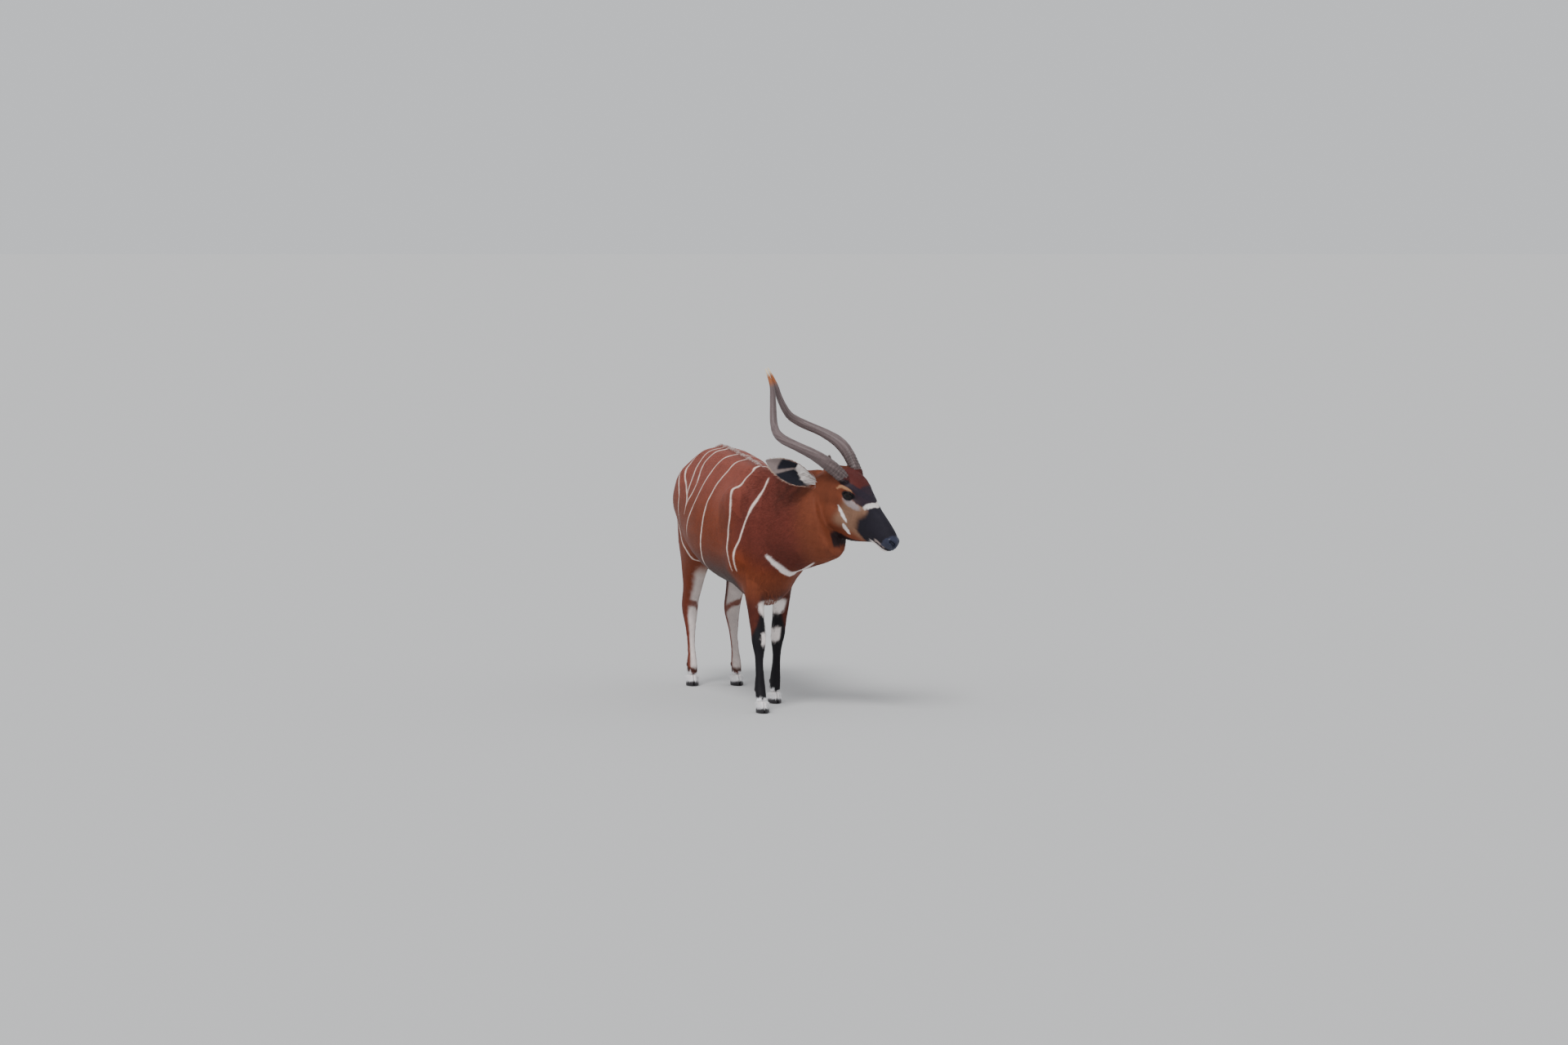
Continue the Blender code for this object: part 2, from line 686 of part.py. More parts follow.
def copied(thing, name, where, grow=0.0):
    """A copy of an object, its surface moved outwards by an amount."""
    bm = bmesh.new()
    bm.from_mesh(thing.data)
    bm.normal_update()
    for vertex in bm.verts:
        vertex.co += vertex.normal * grow
    mesh = bpy.data.meshes.new(name)
    bm.to_mesh(mesh)
    bm.free()
    return link(mesh, name, where)


def box(name, at, size, where, turn=None):
    bm = bmesh.new()
    bmesh.ops.create_cube(bm, size=1)
    bm.transform(Matrix.Translation(at) @ (turn or Matrix()) @ Matrix.Diagonal((*size, 1)))
    mesh = bpy.data.meshes.new(name)
    bm.to_mesh(mesh)
    bm.free()
    return link(mesh, name, where)


# The thin cuts that part the body: place, direction across the cut, and size along it.
PARTINGS = {
    "neck_base": ((0.525, 0.02, 0.930), (0.92, 0.10, 0.38), (0.60, 0.76)),
    "neck_head": ((0.805, 0.190, 1.040), (0.74, 0.66, 0.10), (0.40, 0.62)),
}
LIMB_PARTINGS = {
    "fore": ((0.485, 0.20, 0.150), (0.335, 0.13, 0.110)),
    "hind": ((0.625, 0.34, 0.190), (0.400, 0.20, 0.110)),
}


def facing(direction):
    return Vector(direction).to_track_quat("X", "Z").to_matrix().to_4x4()


def part_cutters(where):
    for name, (at, across, (wide, high)) in PARTINGS.items():
        box(name, at, (GAP, wide, high), where, facing(across))
    for foot in HOOF_AT:
        for z, long, wide in LIMB_PARTINGS[foot[:4]]:
            box(f"cut_{foot}", limb_centre(foot, z), (long, wide, GAP), where)
        lean = math.atan(CORONET_SLOPE)
        under = Matrix.Rotation(-lean, 4, "Y")
        place = foot_matrix(foot)
        pivot = place @ Vector((CLAW_ROWS[-1][3], 0, CORONET + GAP / math.cos(lean)))
        at = Matrix.Translation(pivot) @ place.to_3x3().to_4x4() @ under
        box(f"coronet_{foot}", at @ Vector((0, 0, -0.05)), (0.16, 0.11, 0.10), where,
            place.to_3x3().to_4x4() @ under)


LID_THICKNESS = 0.0045
# The opening between the lids: half its length and height, and how far its corners lean.
EYE_OPENING = (0.0245, 0.0190)
EYE_FACES = (0.22, 0.95, 0.20)
EYE_SLANT = -18.0


def eye_frame(side):
    """+Z looks out of the eye, +X runs towards the nose."""
    sign = side_sign(side)
    out = Vector((EYE_FACES[0], sign * EYE_FACES[1], EYE_FACES[2])).normalized()
    ahead = (Vector((1, 0, 0)) - out * out.x).normalized()
    across = out.cross(ahead)
    turn = Matrix((ahead, across, out)).transposed().to_4x4()
    slant = Matrix.Rotation(math.radians(EYE_SLANT * sign), 4, "Z")
    place = head_matrix()
    return Matrix.Translation(eye_place(side)) @ place.to_3x3().to_4x4() @ turn @ slant


def lids(side, where):
    bm = bmesh.new()
    bmesh.ops.create_uvsphere(bm, u_segments=18, v_segments=12, radius=EYE_RADIUS + LID_THICKNESS)
    bm.transform(eye_frame(side))
    mesh = bpy.data.meshes.new(f"lids_{side}")
    bm.to_mesh(mesh)
    bm.free()
    return link(mesh, f"lids_{side}", where)


def lid_opening(side, where):
    place = eye_frame(side)
    long, high = EYE_OPENING
    outline = []
    for k in range(16):
        c, s = math.cos(math.tau * k / 16), math.sin(math.tau * k / 16)
        outline.append((long * math.copysign(abs(c) ** 0.85, c), high * math.copysign(abs(s) ** 1.1, s)))
    rings = [
        [place @ Vector((x * flare, y * flare, z)) for x, y in outline]
        for z, flare in ((0.008, 0.95), (0.022, 1.0), (0.040, 1.15))
    ]
    return loft(f"lid_opening_{side}", rings, where)


# Mouth line and nostrils in the head's frame.
MOUTH = [
    (0.340, 0.0370, -0.094),
    (0.370, 0.0350, -0.092),
    (0.400, 0.0345, -0.090),
    (0.428, 0.0310, -0.089),
    (0.448, 0.0220, -0.088),
    (0.458, 0.0100, -0.087),
    (0.460, 0.0000, -0.087),
]
MOUTH_DEPTH, MOUTH_HEIGHT = 0.009, 0.0040
NOSTRIL_AT = (0.462, 0.022, -0.046)
NOSTRIL_SIZE = (0.013, 0.009, 0.0065)


def mouth_groove(where):
    place = head_matrix()
    left = [Vector(p) for p in MOUTH]
    path = left + [Vector((p.x, -p.y, p.z)) for p in reversed(left[:-1])]
    rings = []
    for k, point in enumerate(path):
        along = (path[min(k + 1, len(path) - 1)] - path[max(k - 1, 0)]).normalized()
        inward = along.cross(Vector((0, 0, 1))).normalized()
        if inward.dot(Vector((0.30, 0, -0.088)) - point) < 0:
            inward = -inward
        fade = 0.15 if k in (0, len(path) - 1) else 1.0
        apex = point + inward * MOUTH_DEPTH * fade
        outer = point - inward * 0.012
        rise = Vector((0, 0, MOUTH_HEIGHT * fade))
        rings.append([place @ apex, place @ (outer + rise), place @ (outer - rise)])
    return loft("mouth_groove", rings, where)


def nostril(side, where):
    x, y, z = NOSTRIL_AT
    at = head_matrix() @ Vector((x, side_sign(side) * y, z))
    turn = head_matrix().to_3x3().to_4x4() @ Matrix.Rotation(math.radians(35), 4, "Y")
    return ball(f"nostril_{side}", at, NOSTRIL_SIZE, where, turn, around=12)


def boolean(thing, others, operation):
    apply_modifier(
        thing, "BOOLEAN", operation=operation, operand_type="COLLECTION", collection=others, solver="MANIFOLD"
    )


def discard(collection):
    for item in list(collection.objects):
        bpy.data.objects.remove(item)
    bpy.data.collections.remove(collection)


def loose_pieces(thing):
    """The mesh's separate closed surfaces, as lists of vertices."""
    bm = bmesh.new()
    bm.from_mesh(thing.data)
    seen = set()
    found = []
    for start in bm.verts:
        if start in seen:
            continue
        seen.add(start)
        members = [start]
        for vertex in members:
            for edge in vertex.link_edges:
                other = edge.other_vert(vertex)
                if other not in seen:
                    seen.add(other)
                    members.append(other)
        found.append(members)
    return bm, found


# A point near the middle of each piece of the cut body.
NODE_NEAR = {
    "torso": (-0.05, 0.0, 0.93),
    "neck": (0.68, 0.11, 0.98),
    "head": (0.98, 0.33, 1.05),
}
for _foot in HOOF_AT:
    _kind = _foot[:4]
    (_high, *_), (_mid, *_) = LIMB_PARTINGS[_kind]
    NODE_NEAR[f"{_foot}_upper"] = tuple(limb_centre(_foot, (_high + _mid) / 2))
    NODE_NEAR[f"{_foot}_lower"] = tuple(limb_centre(_foot, (_mid + 0.06) / 2))


def keep_largest(thing):
    """Leaves only the mesh's largest closed surface."""
    bm, groups = loose_pieces(thing)
    for members in sorted(groups, key=len)[:-1]:
        bmesh.ops.delete(bm, geom=members, context="VERTS")
    bm.to_mesh(thing.data)
    bm.free()


def split(thing, where):
    """Parts the cut body into its named pieces."""
    bm, groups = loose_pieces(thing)
    kept = {}
    for members in groups:
        centre = sum((v.co for v in members), Vector()) / len(members)
        name = min(NODE_NEAR, key=lambda key: (Vector(NODE_NEAR[key]) - centre).length)
        if len(members) > len(kept.get(name, ())):
            kept[name] = members
    made = {}
    for name, members in kept.items():
        numbers = {v: k for k, v in enumerate(members)}
        faces = dict.fromkeys(face for v in members for face in v.link_faces)
        mesh = bpy.data.meshes.new(name)
        mesh.from_pydata(
            [v.co for v in members], [], [[numbers[v] for v in face.verts] for face in faces]
        )
        made[name] = link(mesh, name, where)
    bm.free()
    bpy.data.objects.remove(thing)
    return made


def finished(thing, paint):
    bm = bmesh.new()
    bm.from_mesh(thing.data)
    bmesh.ops.remove_doubles(bm, verts=bm.verts, dist=0.000002)
    bmesh.ops.triangulate(bm, faces=bm.faces)
    bmesh.ops.recalc_face_normals(bm, faces=bm.faces)
    bm.to_mesh(thing.data)
    bm.free()
    for polygon in thing.data.polygons:
        polygon.use_smooth = True
    thing.data.materials.clear()
    thing.data.materials.append(material(thing.name, *paint))


def centred(parts):
    """Moves the whole so that the middle of its bounds stands on the origin."""
    corners = [vertex.co for thing in parts for vertex in thing.data.vertices]
    low = Vector([min(c[k] for c in corners) for k in range(3)])
    high = Vector([max(c[k] for c in corners) for k in range(3)])
    shift = Matrix.Translation((-(low.x + high.x) / 2, -(low.y + high.y) / 2, -low.z))
    for thing in parts:
        thing.data.transform(shift)


PAINT = {
    "horn": ((0.16, 0.13, 0.12), 0.55),
    "eye": ((0.010, 0.008, 0.008), 0.08),
    "claw": ((0.020, 0.018, 0.022), 0.45),
    "dewclaw": ((0.020, 0.018, 0.022), 0.45),
    "coat": ((0.24, 0.065, 0.028), 0.75),
}


def main():
    clear_scene()
    parts = collection_named("bongo_antelope")
    whole = body(parts)
    extras = []
    for side in ("left", "right"):
        extras += [horn(side, parts), ear(side, parts), eye(side, parts)]
    extras.append(tail(parts))
    for foot in HOOF_AT:
        for hand in ("left", "right"):
            claw(foot, hand, parts)
            extras.append(dewclaw(foot, hand, parts))

    added = collection_named("added")
    for side in ("left", "right"):
        lids(side, added)
    crest(whole, added)
    boolean(whole, added, "UNION")
    discard(added)

    cutters = collection_named("cutters")
    cutters.hide_render = True
    for thing in extras:
        copied(thing, f"seat_{thing.name}", cutters, GAP)
    for side in ("left", "right"):
        lid_opening(side, cutters)
        nostril(side, cutters)
    mouth_groove(cutters)
    part_cutters(cutters)
    for cutter in cutters.objects:
        cutter.display_type = "WIRE"
    boolean(whole, cutters, "DIFFERENCE")
    discard(cutters)

    split(whole, parts)
    for thing in parts.objects:
        finished(thing, PAINT.get(thing.name.split("_")[0], PAINT["coat"]))
    centred(parts.objects)


main()
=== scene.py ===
import json
import math

import bmesh
import bpy
import numpy as np
from mathutils import Matrix, Vector, bvhtree

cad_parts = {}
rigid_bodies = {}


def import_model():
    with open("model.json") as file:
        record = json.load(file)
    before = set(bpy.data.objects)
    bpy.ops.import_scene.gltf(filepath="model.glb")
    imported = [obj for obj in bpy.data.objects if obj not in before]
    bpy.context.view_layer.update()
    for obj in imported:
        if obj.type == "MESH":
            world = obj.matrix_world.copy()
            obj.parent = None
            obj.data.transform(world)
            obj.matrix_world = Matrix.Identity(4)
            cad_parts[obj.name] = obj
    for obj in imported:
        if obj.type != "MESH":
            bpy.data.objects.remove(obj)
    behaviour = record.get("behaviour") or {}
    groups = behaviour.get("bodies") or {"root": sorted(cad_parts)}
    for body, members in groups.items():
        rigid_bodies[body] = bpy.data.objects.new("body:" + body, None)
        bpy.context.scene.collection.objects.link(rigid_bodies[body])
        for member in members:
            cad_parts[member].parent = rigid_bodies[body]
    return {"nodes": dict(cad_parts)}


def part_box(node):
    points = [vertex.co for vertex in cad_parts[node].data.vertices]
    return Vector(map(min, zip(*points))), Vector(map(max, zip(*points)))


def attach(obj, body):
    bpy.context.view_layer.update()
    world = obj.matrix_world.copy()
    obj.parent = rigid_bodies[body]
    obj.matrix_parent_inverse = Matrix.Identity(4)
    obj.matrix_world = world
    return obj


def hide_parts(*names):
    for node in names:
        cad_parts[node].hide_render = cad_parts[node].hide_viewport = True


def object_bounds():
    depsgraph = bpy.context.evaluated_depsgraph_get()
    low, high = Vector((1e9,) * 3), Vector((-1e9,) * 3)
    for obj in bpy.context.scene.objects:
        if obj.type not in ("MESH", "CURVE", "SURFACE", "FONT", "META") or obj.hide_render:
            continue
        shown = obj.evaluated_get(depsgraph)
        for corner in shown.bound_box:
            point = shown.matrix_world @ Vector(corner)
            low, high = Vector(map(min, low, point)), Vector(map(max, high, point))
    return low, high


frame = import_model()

CAD_BOX = [list(corner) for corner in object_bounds()]
LOW_CORNER, HIGH_CORNER = (np.array(corner) for corner in CAD_BOX)
NODES = frame["nodes"]
for _thing in bpy.data.objects:
    _thing.select_set(False)

# Places, as in the solids

SIDES = {"left": 1, "right": -1}
FEET = ("fore_right", "fore_left", "hind_right", "hind_left")
LIMB_NODES = [f"{foot}_{part}" for foot in FEET for part in ("upper", "lower")]
HOOF_AT = {
    "fore_right": (0.730, -0.085),
    "fore_left": (0.335, 0.082),
    "hind_right": (-0.545, -0.132),
    "hind_left": (-0.500, 0.098),
}
LIMB_TOP = {
    "fore_right": (0.520, -0.078),
    "fore_left": (0.430, 0.100),
    "hind_right": (-0.470, -0.130),
    "hind_left": (-0.470, 0.088),
}
SWING_FROM = {"fore": 0.74, "hind": 0.90}
# Height and the middle of the limb's section ahead of its own line.
LIMB_AHEAD = {
    "fore": [(0.0, 0.0), (0.085, -0.012), (0.125, -0.021), (0.160, -0.018), (0.240, -0.012), (0.300, -0.0095),
             (0.345, -0.0045), (0.46, -0.003), (0.54, -0.005), (0.62, -0.011), (0.70, -0.013), (0.80, -0.0075),
             (0.95, 0.0)],
    "hind": [(0.0, 0.0), (0.085, -0.007), (0.125, -0.021), (0.165, -0.030), (0.25, -0.059), (0.32, -0.0785),
             (0.37, -0.0945), (0.415, -0.095), (0.455, -0.076), (0.52, -0.030), (0.60, 0.0125), (0.68, 0.055),
             (0.76, 0.0625), (0.88, 0.0425)],
}
HEAD_AT = (0.877, 0.239, 1.168)
HEAD_YAW, HEAD_PITCH, HEAD_ROLL = 45.0, 37.0, 8.0
EYE_AT = (0.145, 0.069, 0.022)
EYE_RADIUS = 0.0265
EYE_OPENING = (0.0248, 0.0168)
EYE_FACES = (0.22, 0.95, 0.20)
EYE_SLANT = 18.0
HORN_AT = (0.060, 0.0, 0.076)
# A horn's middle line: back and up from between the bases, and half the spread.
HORN_LINE = [
    (0.012, -0.048, 0.050), (0.000, -0.004, 0.064), (-0.056, 0.070, 0.100), (-0.119, 0.122, 0.122),
    (-0.209, 0.166, 0.131), (-0.289, 0.198, 0.126), (-0.335, 0.226, 0.108), (-0.366, 0.268, 0.074),
    (-0.385, 0.355, 0.035), (-0.395, 0.434, 0.018), (-0.428, 0.518, 0.011),
]
HORN_TILT = 13.0
EAR_AT = (-0.022, 0.072, -0.050)
EAR_POSE = {
    "right": ((-0.205, -0.160, 0.125), (0.44, -0.90, 0.10)),
    "left": ((-0.150, 0.200, 0.090), (0.75, 0.60, -0.10)),
}
EAR_LENGTH = 0.285
TAIL = [
    (-0.690, 0.000, 1.060, 0.026),
    (-0.745, -0.004, 1.035, 0.024),
    (-0.772, -0.012, 0.965, 0.019),
    (-0.776, -0.034, 0.840, 0.014),
    (-0.768, -0.052, 0.720, 0.012),
    (-0.764, -0.060, 0.650, 0.011),
    (-0.762, -0.064, 0.580, 0.009),
    (-0.762, -0.064, 0.530, 0.004),
]
NECK_BASE = ((0.525, 0.02, 0.930), (0.92, 0.10, 0.38))
NECK_HEAD = ((0.805, 0.190, 1.040), (0.74, 0.66, 0.10))


def head_turn():
    turn = Matrix.Rotation(math.radians(HEAD_YAW), 4, "Z")
    turn = turn @ Matrix.Rotation(math.radians(HEAD_PITCH), 4, "Y")
    return turn @ Matrix.Rotation(math.radians(HEAD_ROLL), 4, "X")


def shift_of_frame():
    """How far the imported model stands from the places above."""
    low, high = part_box("eye_left")
    return (low + high) / 2 - (Matrix.Translation(HEAD_AT) @ head_turn()) @ Vector(EYE_AT)


SHIFT = shift_of_frame()
HEAD = Matrix.Translation(Vector(HEAD_AT) + SHIFT) @ head_turn()


def placed(point):
    return Vector(point) + SHIFT


# Camera

CAMERA_FOCAL = 4848.0
CAMERA_AWAY = 20.2
CAMERA_HEIGHT = 2.31
CAMERA_TURN = math.radians(15.0)
HORIZON_ROW = 300.0
MIDDLE_COLUMN = 909.0
PIXELS_A_METRE = 240.0
FRAME_WIDE, FRAME_HIGH = 1920, 1280


def camera():
    eye_line = Vector((math.cos(CAMERA_TURN), -math.sin(CAMERA_TURN), 0))
    right = Vector((math.sin(CAMERA_TURN), math.cos(CAMERA_TURN), 0))
    data = bpy.data.cameras.new("camera")
    data.sensor_width = 36
    data.lens = CAMERA_FOCAL / FRAME_WIDE * data.sensor_width
    made = bpy.data.objects.new("camera", data)
    bpy.context.scene.collection.objects.link(made)
    aside = (FRAME_WIDE / 2 - MIDDLE_COLUMN) / PIXELS_A_METRE
    made.location = eye_line * CAMERA_AWAY + Vector((0, 0, CAMERA_HEIGHT)) + right * aside + SHIFT
    pitch = math.atan((FRAME_HIGH / 2 - HORIZON_ROW) / CAMERA_FOCAL)
    forward = -eye_line * math.cos(pitch) - Vector((0, 0, math.sin(pitch)))
    made.rotation_euler = forward.to_track_quat("-Z", "Y").to_euler()
    bpy.context.scene.camera = made


camera()


# Working with meshes


def linked(mesh, name):
    made = bpy.data.objects.new(name, mesh)
    bpy.context.scene.collection.objects.link(made)
    return made


def applied(thing, kind, **settings):
    made = thing.modifiers.new(kind, kind)
    for key, value in settings.items():
        setattr(made, key, value)
    with bpy.context.temp_override(object=thing, active_object=thing, selected_objects=[thing]):
        bpy.ops.object.modifier_apply(modifier=made.name)
    return thing


def select_only(*things):
    """Selects these, with the first of them active."""
    bpy.ops.object.select_all(action="DESELECT")
    for thing in things:
        thing.select_set(True)
    bpy.context.view_layer.objects.active = things[0]


def points_of(thing):
    co = np.empty(len(thing.data.vertices) * 3)
    thing.data.vertices.foreach_get("co", co)
    return co.reshape(-1, 3)


def set_points(thing, co):
    thing.data.vertices.foreach_set("co", co.ravel())
    thing.data.update()


def normals_of(thing):
    found = np.empty(len(thing.data.vertices) * 3)
    thing.data.vertex_normals.foreach_get("vector", found)
    return found.reshape(-1, 3)


def weigh(thing, name, weights):
    group = thing.vertex_groups.new(name=name)
    steps = np.round(np.clip(weights, 0, 1) * 20).astype(int)
    for step in range(21):
        group.add(np.flatnonzero(steps == step).tolist(), step / 20, "REPLACE")


def smoothed(thing):
    thing.data.polygons.foreach_set("use_smooth", np.ones(len(thing.data.polygons), bool))


def unit(v):
    return v / np.maximum(np.linalg.norm(v, axis=-1, keepdims=True), 1e-12)


def along_surface(way, normals):
    return unit(way - normals * np.sum(way * normals, axis=1, keepdims=True))


def repeated(row, count):
    return np.tile(row, (count, 1))


def ramp(value, low, high):
    t = np.clip((value - low) / (high - low), 0.0, 1.0)
    return t * t * (3 - 2 * t)


def bump_at(value, middle, half):
    """1 at a middle value, falling smoothly to 0 at a distance of half from it."""
    return 1 - ramp(np.abs(value - middle), half * 0.6, half * 1.1)


def moved_by(matrix, co):
    m = np.array(matrix)
    return co @ m[:3, :3].T + m[:3, 3]


def wobble(co, size, seed):
    """Smooth noise from -1 to 1, by summed waves in seeded directions."""
    rng = np.random.default_rng(100 + seed)
    total = np.zeros(len(co))
    for k in range(6):
        way = rng.normal(size=3)
        way *= (0.7 + 0.25 * k) / (np.linalg.norm(way) * size) * math.tau
        total += np.sin(co @ way + rng.uniform(0, math.tau))
    return total / 3.2


def curve_through(points, per_span=6):
    """Points on a smooth open curve through the given ones."""
    p = [np.array(q, float) for q in points]
    p = [2 * p[0] - p[1], *p, 2 * p[-1] - p[-2]]
    found = []
    for i in range(1, len(p) - 2):
        for s in range(per_span):
            t = s / per_span
            found.append(
                0.5 * (2 * p[i] + (p[i + 1] - p[i - 1]) * t
                       + (2 * p[i - 1] - 5 * p[i] + 4 * p[i + 1] - p[i + 2]) * t**2
                       + (3 * p[i] - p[i - 1] - 3 * p[i + 1] + p[i + 2]) * t**3)
            )
    found.append(p[-2])
    return np.array(found)


def off_line(co, line):
    """Each point's distance from a line of points, and its share along the line."""
    best = np.full(len(co), 1e9)
    share = np.zeros(len(co))
    last = len(line) - 1
    for k in range(last):
        a, b = line[k], line[k + 1]
        along = b - a
        t = np.clip(((co - a) @ along) / (along @ along), 0, 1)
        gap = np.linalg.norm(co - (a + t[:, None] * along), axis=1)
        nearer = gap < best
        best[nearer] = gap[nearer]
        share[nearer] = (k + t[nearer]) / last
    return best, share


# Where a point of the coat is


def design(co):
    return co - np.array(SHIFT)


def beyond(co, plane):
    at, way = np.array(plane[0]), unit(np.array(plane[1]))
    return (design(co) - at) @ way


def head_places(co):
    return moved_by(HEAD.inverted(), co)


def folded(q):
    """Places in the head's frame, with its right side laid on its left."""
    return np.stack([q[:, 0], np.abs(q[:, 1]), q[:, 2]], axis=1)


def limb_line(foot, z):
    """How far ahead and to the left a limb's middle lies at each height."""
    pivot = SWING_FROM[foot[:4]]
    down = np.maximum(pivot - z, 0) / pivot
    (tx, ty), (hx, hy) = LIMB_TOP[foot], HOOF_AT[foot]
    rows = np.array(LIMB_AHEAD[foot[:4]])
    return tx + (hx - tx) * down + np.interp(z, rows[:, 0], rows[:, 1]), ty + (hy - ty) * down


def limb_places(co):
    """For each foot: how far ahead of and outside its limb's middle each point is."""
    p = design(co)
    found = {}
    for foot in FEET:
        x, y = limb_line(foot, p[:, 2])
        out = 1 if foot.endswith("left") else -1
        found[foot] = (p[:, 0] - x, out * (p[:, 1] - y))
    return found


def limb_shares(co):
    """For each foot, 1 on its limb and 0 off it."""
    z = design(co)[:, 2]
    found = {}
    for foot, (ahead, out) in limb_places(co).items():
        high = (0.50, 0.62) if foot.startswith("fore") else (0.58, 0.70)
        reach = 0.075 + 0.10 * ramp(z, 0.40, 0.66)
        near = 1 - ramp(np.hypot(ahead * 0.75, out), reach, reach + 0.02)
        found[foot] = near * (1 - ramp(z, *high))
    return found


def on_limbs(co):
    return np.max(np.stack(list(limb_shares(co).values())), axis=0)


def ear_root(side):
    return HEAD @ Vector((EAR_AT[0], SIDES[side] * EAR_AT[1], EAR_AT[2]))


def ear_axes(side):
    """Unit vectors along an ear, across it and out of its cup."""
    turn = Matrix.Rotation(math.radians(HEAD_YAW), 4, "Z")
    direction, faces = (np.array(turn @ Vector(v)) for v in EAR_POSE[side])
    direction = unit(direction)
    out = unit(faces - direction * (faces @ direction))
    return direction, np.cross(direction, out), out


def ear_places(co, side):
    """Share along an ear, distance across it and out of its cup."""
    direction, across, out = ear_axes(side)
    v = co - np.array(ear_root(side))
    return (v @ direction) / EAR_LENGTH, v @ across, v @ out


# Colours


def tone(red, green, blue):
    """A linear colour from its 0 to 255 screen values."""
    c = np.array((red, green, blue)) / 255
    return np.where(c <= 0.04045, c / 12.92, ((c + 0.055) / 1.055) ** 2.4)


CHESTNUT = tone(110, 47, 21)
# BACK_BROWN is the back's brown, made lighter and pinker by painted sky sheen from above
BACK_BROWN = tone(128, 63, 50)
DEEP_CHESTNUT = tone(100, 45, 36)
RUSSET = tone(116, 60, 39)
DARK_BROWN = tone(50, 24, 17)
SOOT = tone(25, 23, 28)
WHITE_HAIR = tone(236, 226, 222)
CREAM = tone(176, 154, 138)
BRIGHT_WHITE = tone(252, 250, 252)
STRIPE_WHITE = tone(226, 206, 196)
GREY_HAIR = tone(184, 166, 160)
BUFF = tone(172, 126, 94)
CHEEK = tone(134, 100, 80)
PALE_CHEEK = tone(156, 144, 146)
FOREHEAD = tone(84, 37, 34)
BROW = tone(40, 33, 43)
MUZZLE = tone(30, 27, 36)
NOSE_PAD = tone(48, 51, 68)
EAR_INSIDE = tone(28, 28, 37)
EAR_PALE = tone(132, 118, 115)

# Stripes of the flank, from the spine down, as (ahead, height).
STRIPES = {
    "neck_base": [(0.566, 1.165), (0.574, 1.135), (0.58, 1.11), (0.59, 1.04), (0.585, 0.97), (0.57, 0.90), (0.55, 0.82),
                  (0.545, 0.76), (0.54, 0.69)],
    "shoulder": [(0.30, 1.24), (0.37, 1.205), (0.41, 1.18), (0.40, 1.14), (0.41, 1.10), (0.445, 1.06), (0.47, 1.01),
                 (0.475, 0.95), (0.465, 0.88), (0.47, 0.81), (0.50, 0.76), (0.51, 0.69)],
    "rib_1": [(0.09, 1.26), (0.135, 1.215), (0.15, 1.17), (0.13, 1.13), (0.12, 1.07), (0.12, 1.01), (0.145, 0.95),
              (0.165, 0.88), (0.15, 0.82), (0.11, 0.75), (0.06, 0.69), (0.02, 0.65)],
    "rib_2": [(-0.10, 1.27), (-0.04, 1.225), (-0.035, 1.18), (-0.045, 1.12), (-0.045, 1.05), (-0.055, 0.98),
              (-0.07, 0.92), (-0.09, 0.86), (-0.085, 0.82)],
    "rib_3": [(-0.30, 1.27), (-0.24, 1.235), (-0.23, 1.19), (-0.205, 1.14), (-0.165, 1.09), (-0.165, 1.04),
              (-0.19, 0.99), (-0.185, 0.93)],
    "loin": [(-0.37, 1.28), (-0.335, 1.24), (-0.32, 1.20), (-0.30, 1.14), (-0.27, 1.08), (-0.24, 1.02)],
    "hip": [(-0.47, 1.28), (-0.475, 1.23), (-0.46, 1.18), (-0.42, 1.13), (-0.35, 1.08), (-0.27, 1.04), (-0.215, 1.00),
            (-0.19, 0.96)],
    "thigh": [(-0.56, 1.20), (-0.53, 1.15), (-0.47, 1.09), (-0.42, 1.04), (-0.38, 0.99), (-0.355, 0.93),
              (-0.33, 0.87), (-0.27, 0.81), (-0.20, 0.76)],
    "buttock": [(-0.60, 1.05), (-0.52, 0.93), (-0.43, 0.83), (-0.40, 0.78), (-0.355, 0.74), (-0.325, 0.70),
                (-0.30, 0.665)],
}
STRIPE_HALF = 0.0048
LEFT_STRIPES_AHEAD = 0.018


def between(value, low, high, soft):
    """1 from low to high, fading to 0 over a band of twice soft about each end."""
    return ramp(value, low - soft, low + soft) * (1 - ramp(value, high - soft, high + soft))


def stripes_at(co, wider=0.0):
    """How white the stripes make each point of the flanks."""
    white = np.zeros(len(co))
    flank = np.flatnonzero((design(co)[:, 2] > 0.60) & (beyond(co, NECK_BASE) < 0.20))
    p = design(co[flank])
    ahead = p[:, 0] - np.where(p[:, 1] > 0, LEFT_STRIPES_AHEAD, 0.0)
    flat = np.stack([ahead, p[:, 2]], axis=1)
    flat += 0.0028 * np.stack([wobble(p, 0.12, 1), wobble(p, 0.12, 2)], axis=1)
    vary = 1 + 0.20 * wobble(p, 0.06, 3)
    for points in STRIPES.values():
        line = curve_through(points, 4)
        close = np.all((flat > line.min(axis=0) - 0.02) & (flat < line.max(axis=0) + 0.02), axis=1)
        near = np.flatnonzero(close)
        if len(near):
            gap, share = off_line(flat[near], line)
            ends = (1 - 0.6 * ramp(share, 0.82, 1.0)) * (0.45 + 0.55 * ramp(share, 0.0, 0.14))
            half = STRIPE_HALF * vary[near] * ends + wider
            soft = 1 - ramp(gap, half - 0.0018, half + 0.0022)
            if not wider:
                aside = np.abs(p[near, 1])
                soft *= np.maximum(ramp(aside, 0.075, 0.095), ramp(p[near, 2], 0.95, 1.0))
                off_ridge = np.maximum(ramp(-p[near, 1], 0.006, 0.014), ramp(p[near, 1], 0.060, 0.075))
                soft *= np.maximum(off_ridge, p[near, 0] < 0.5)
            white[flank[near]] = np.maximum(white[flank[near]], soft)
    return white


def laid(under, over, share):
    return under + (over - under) * np.clip(share, 0, 1)[:, None]


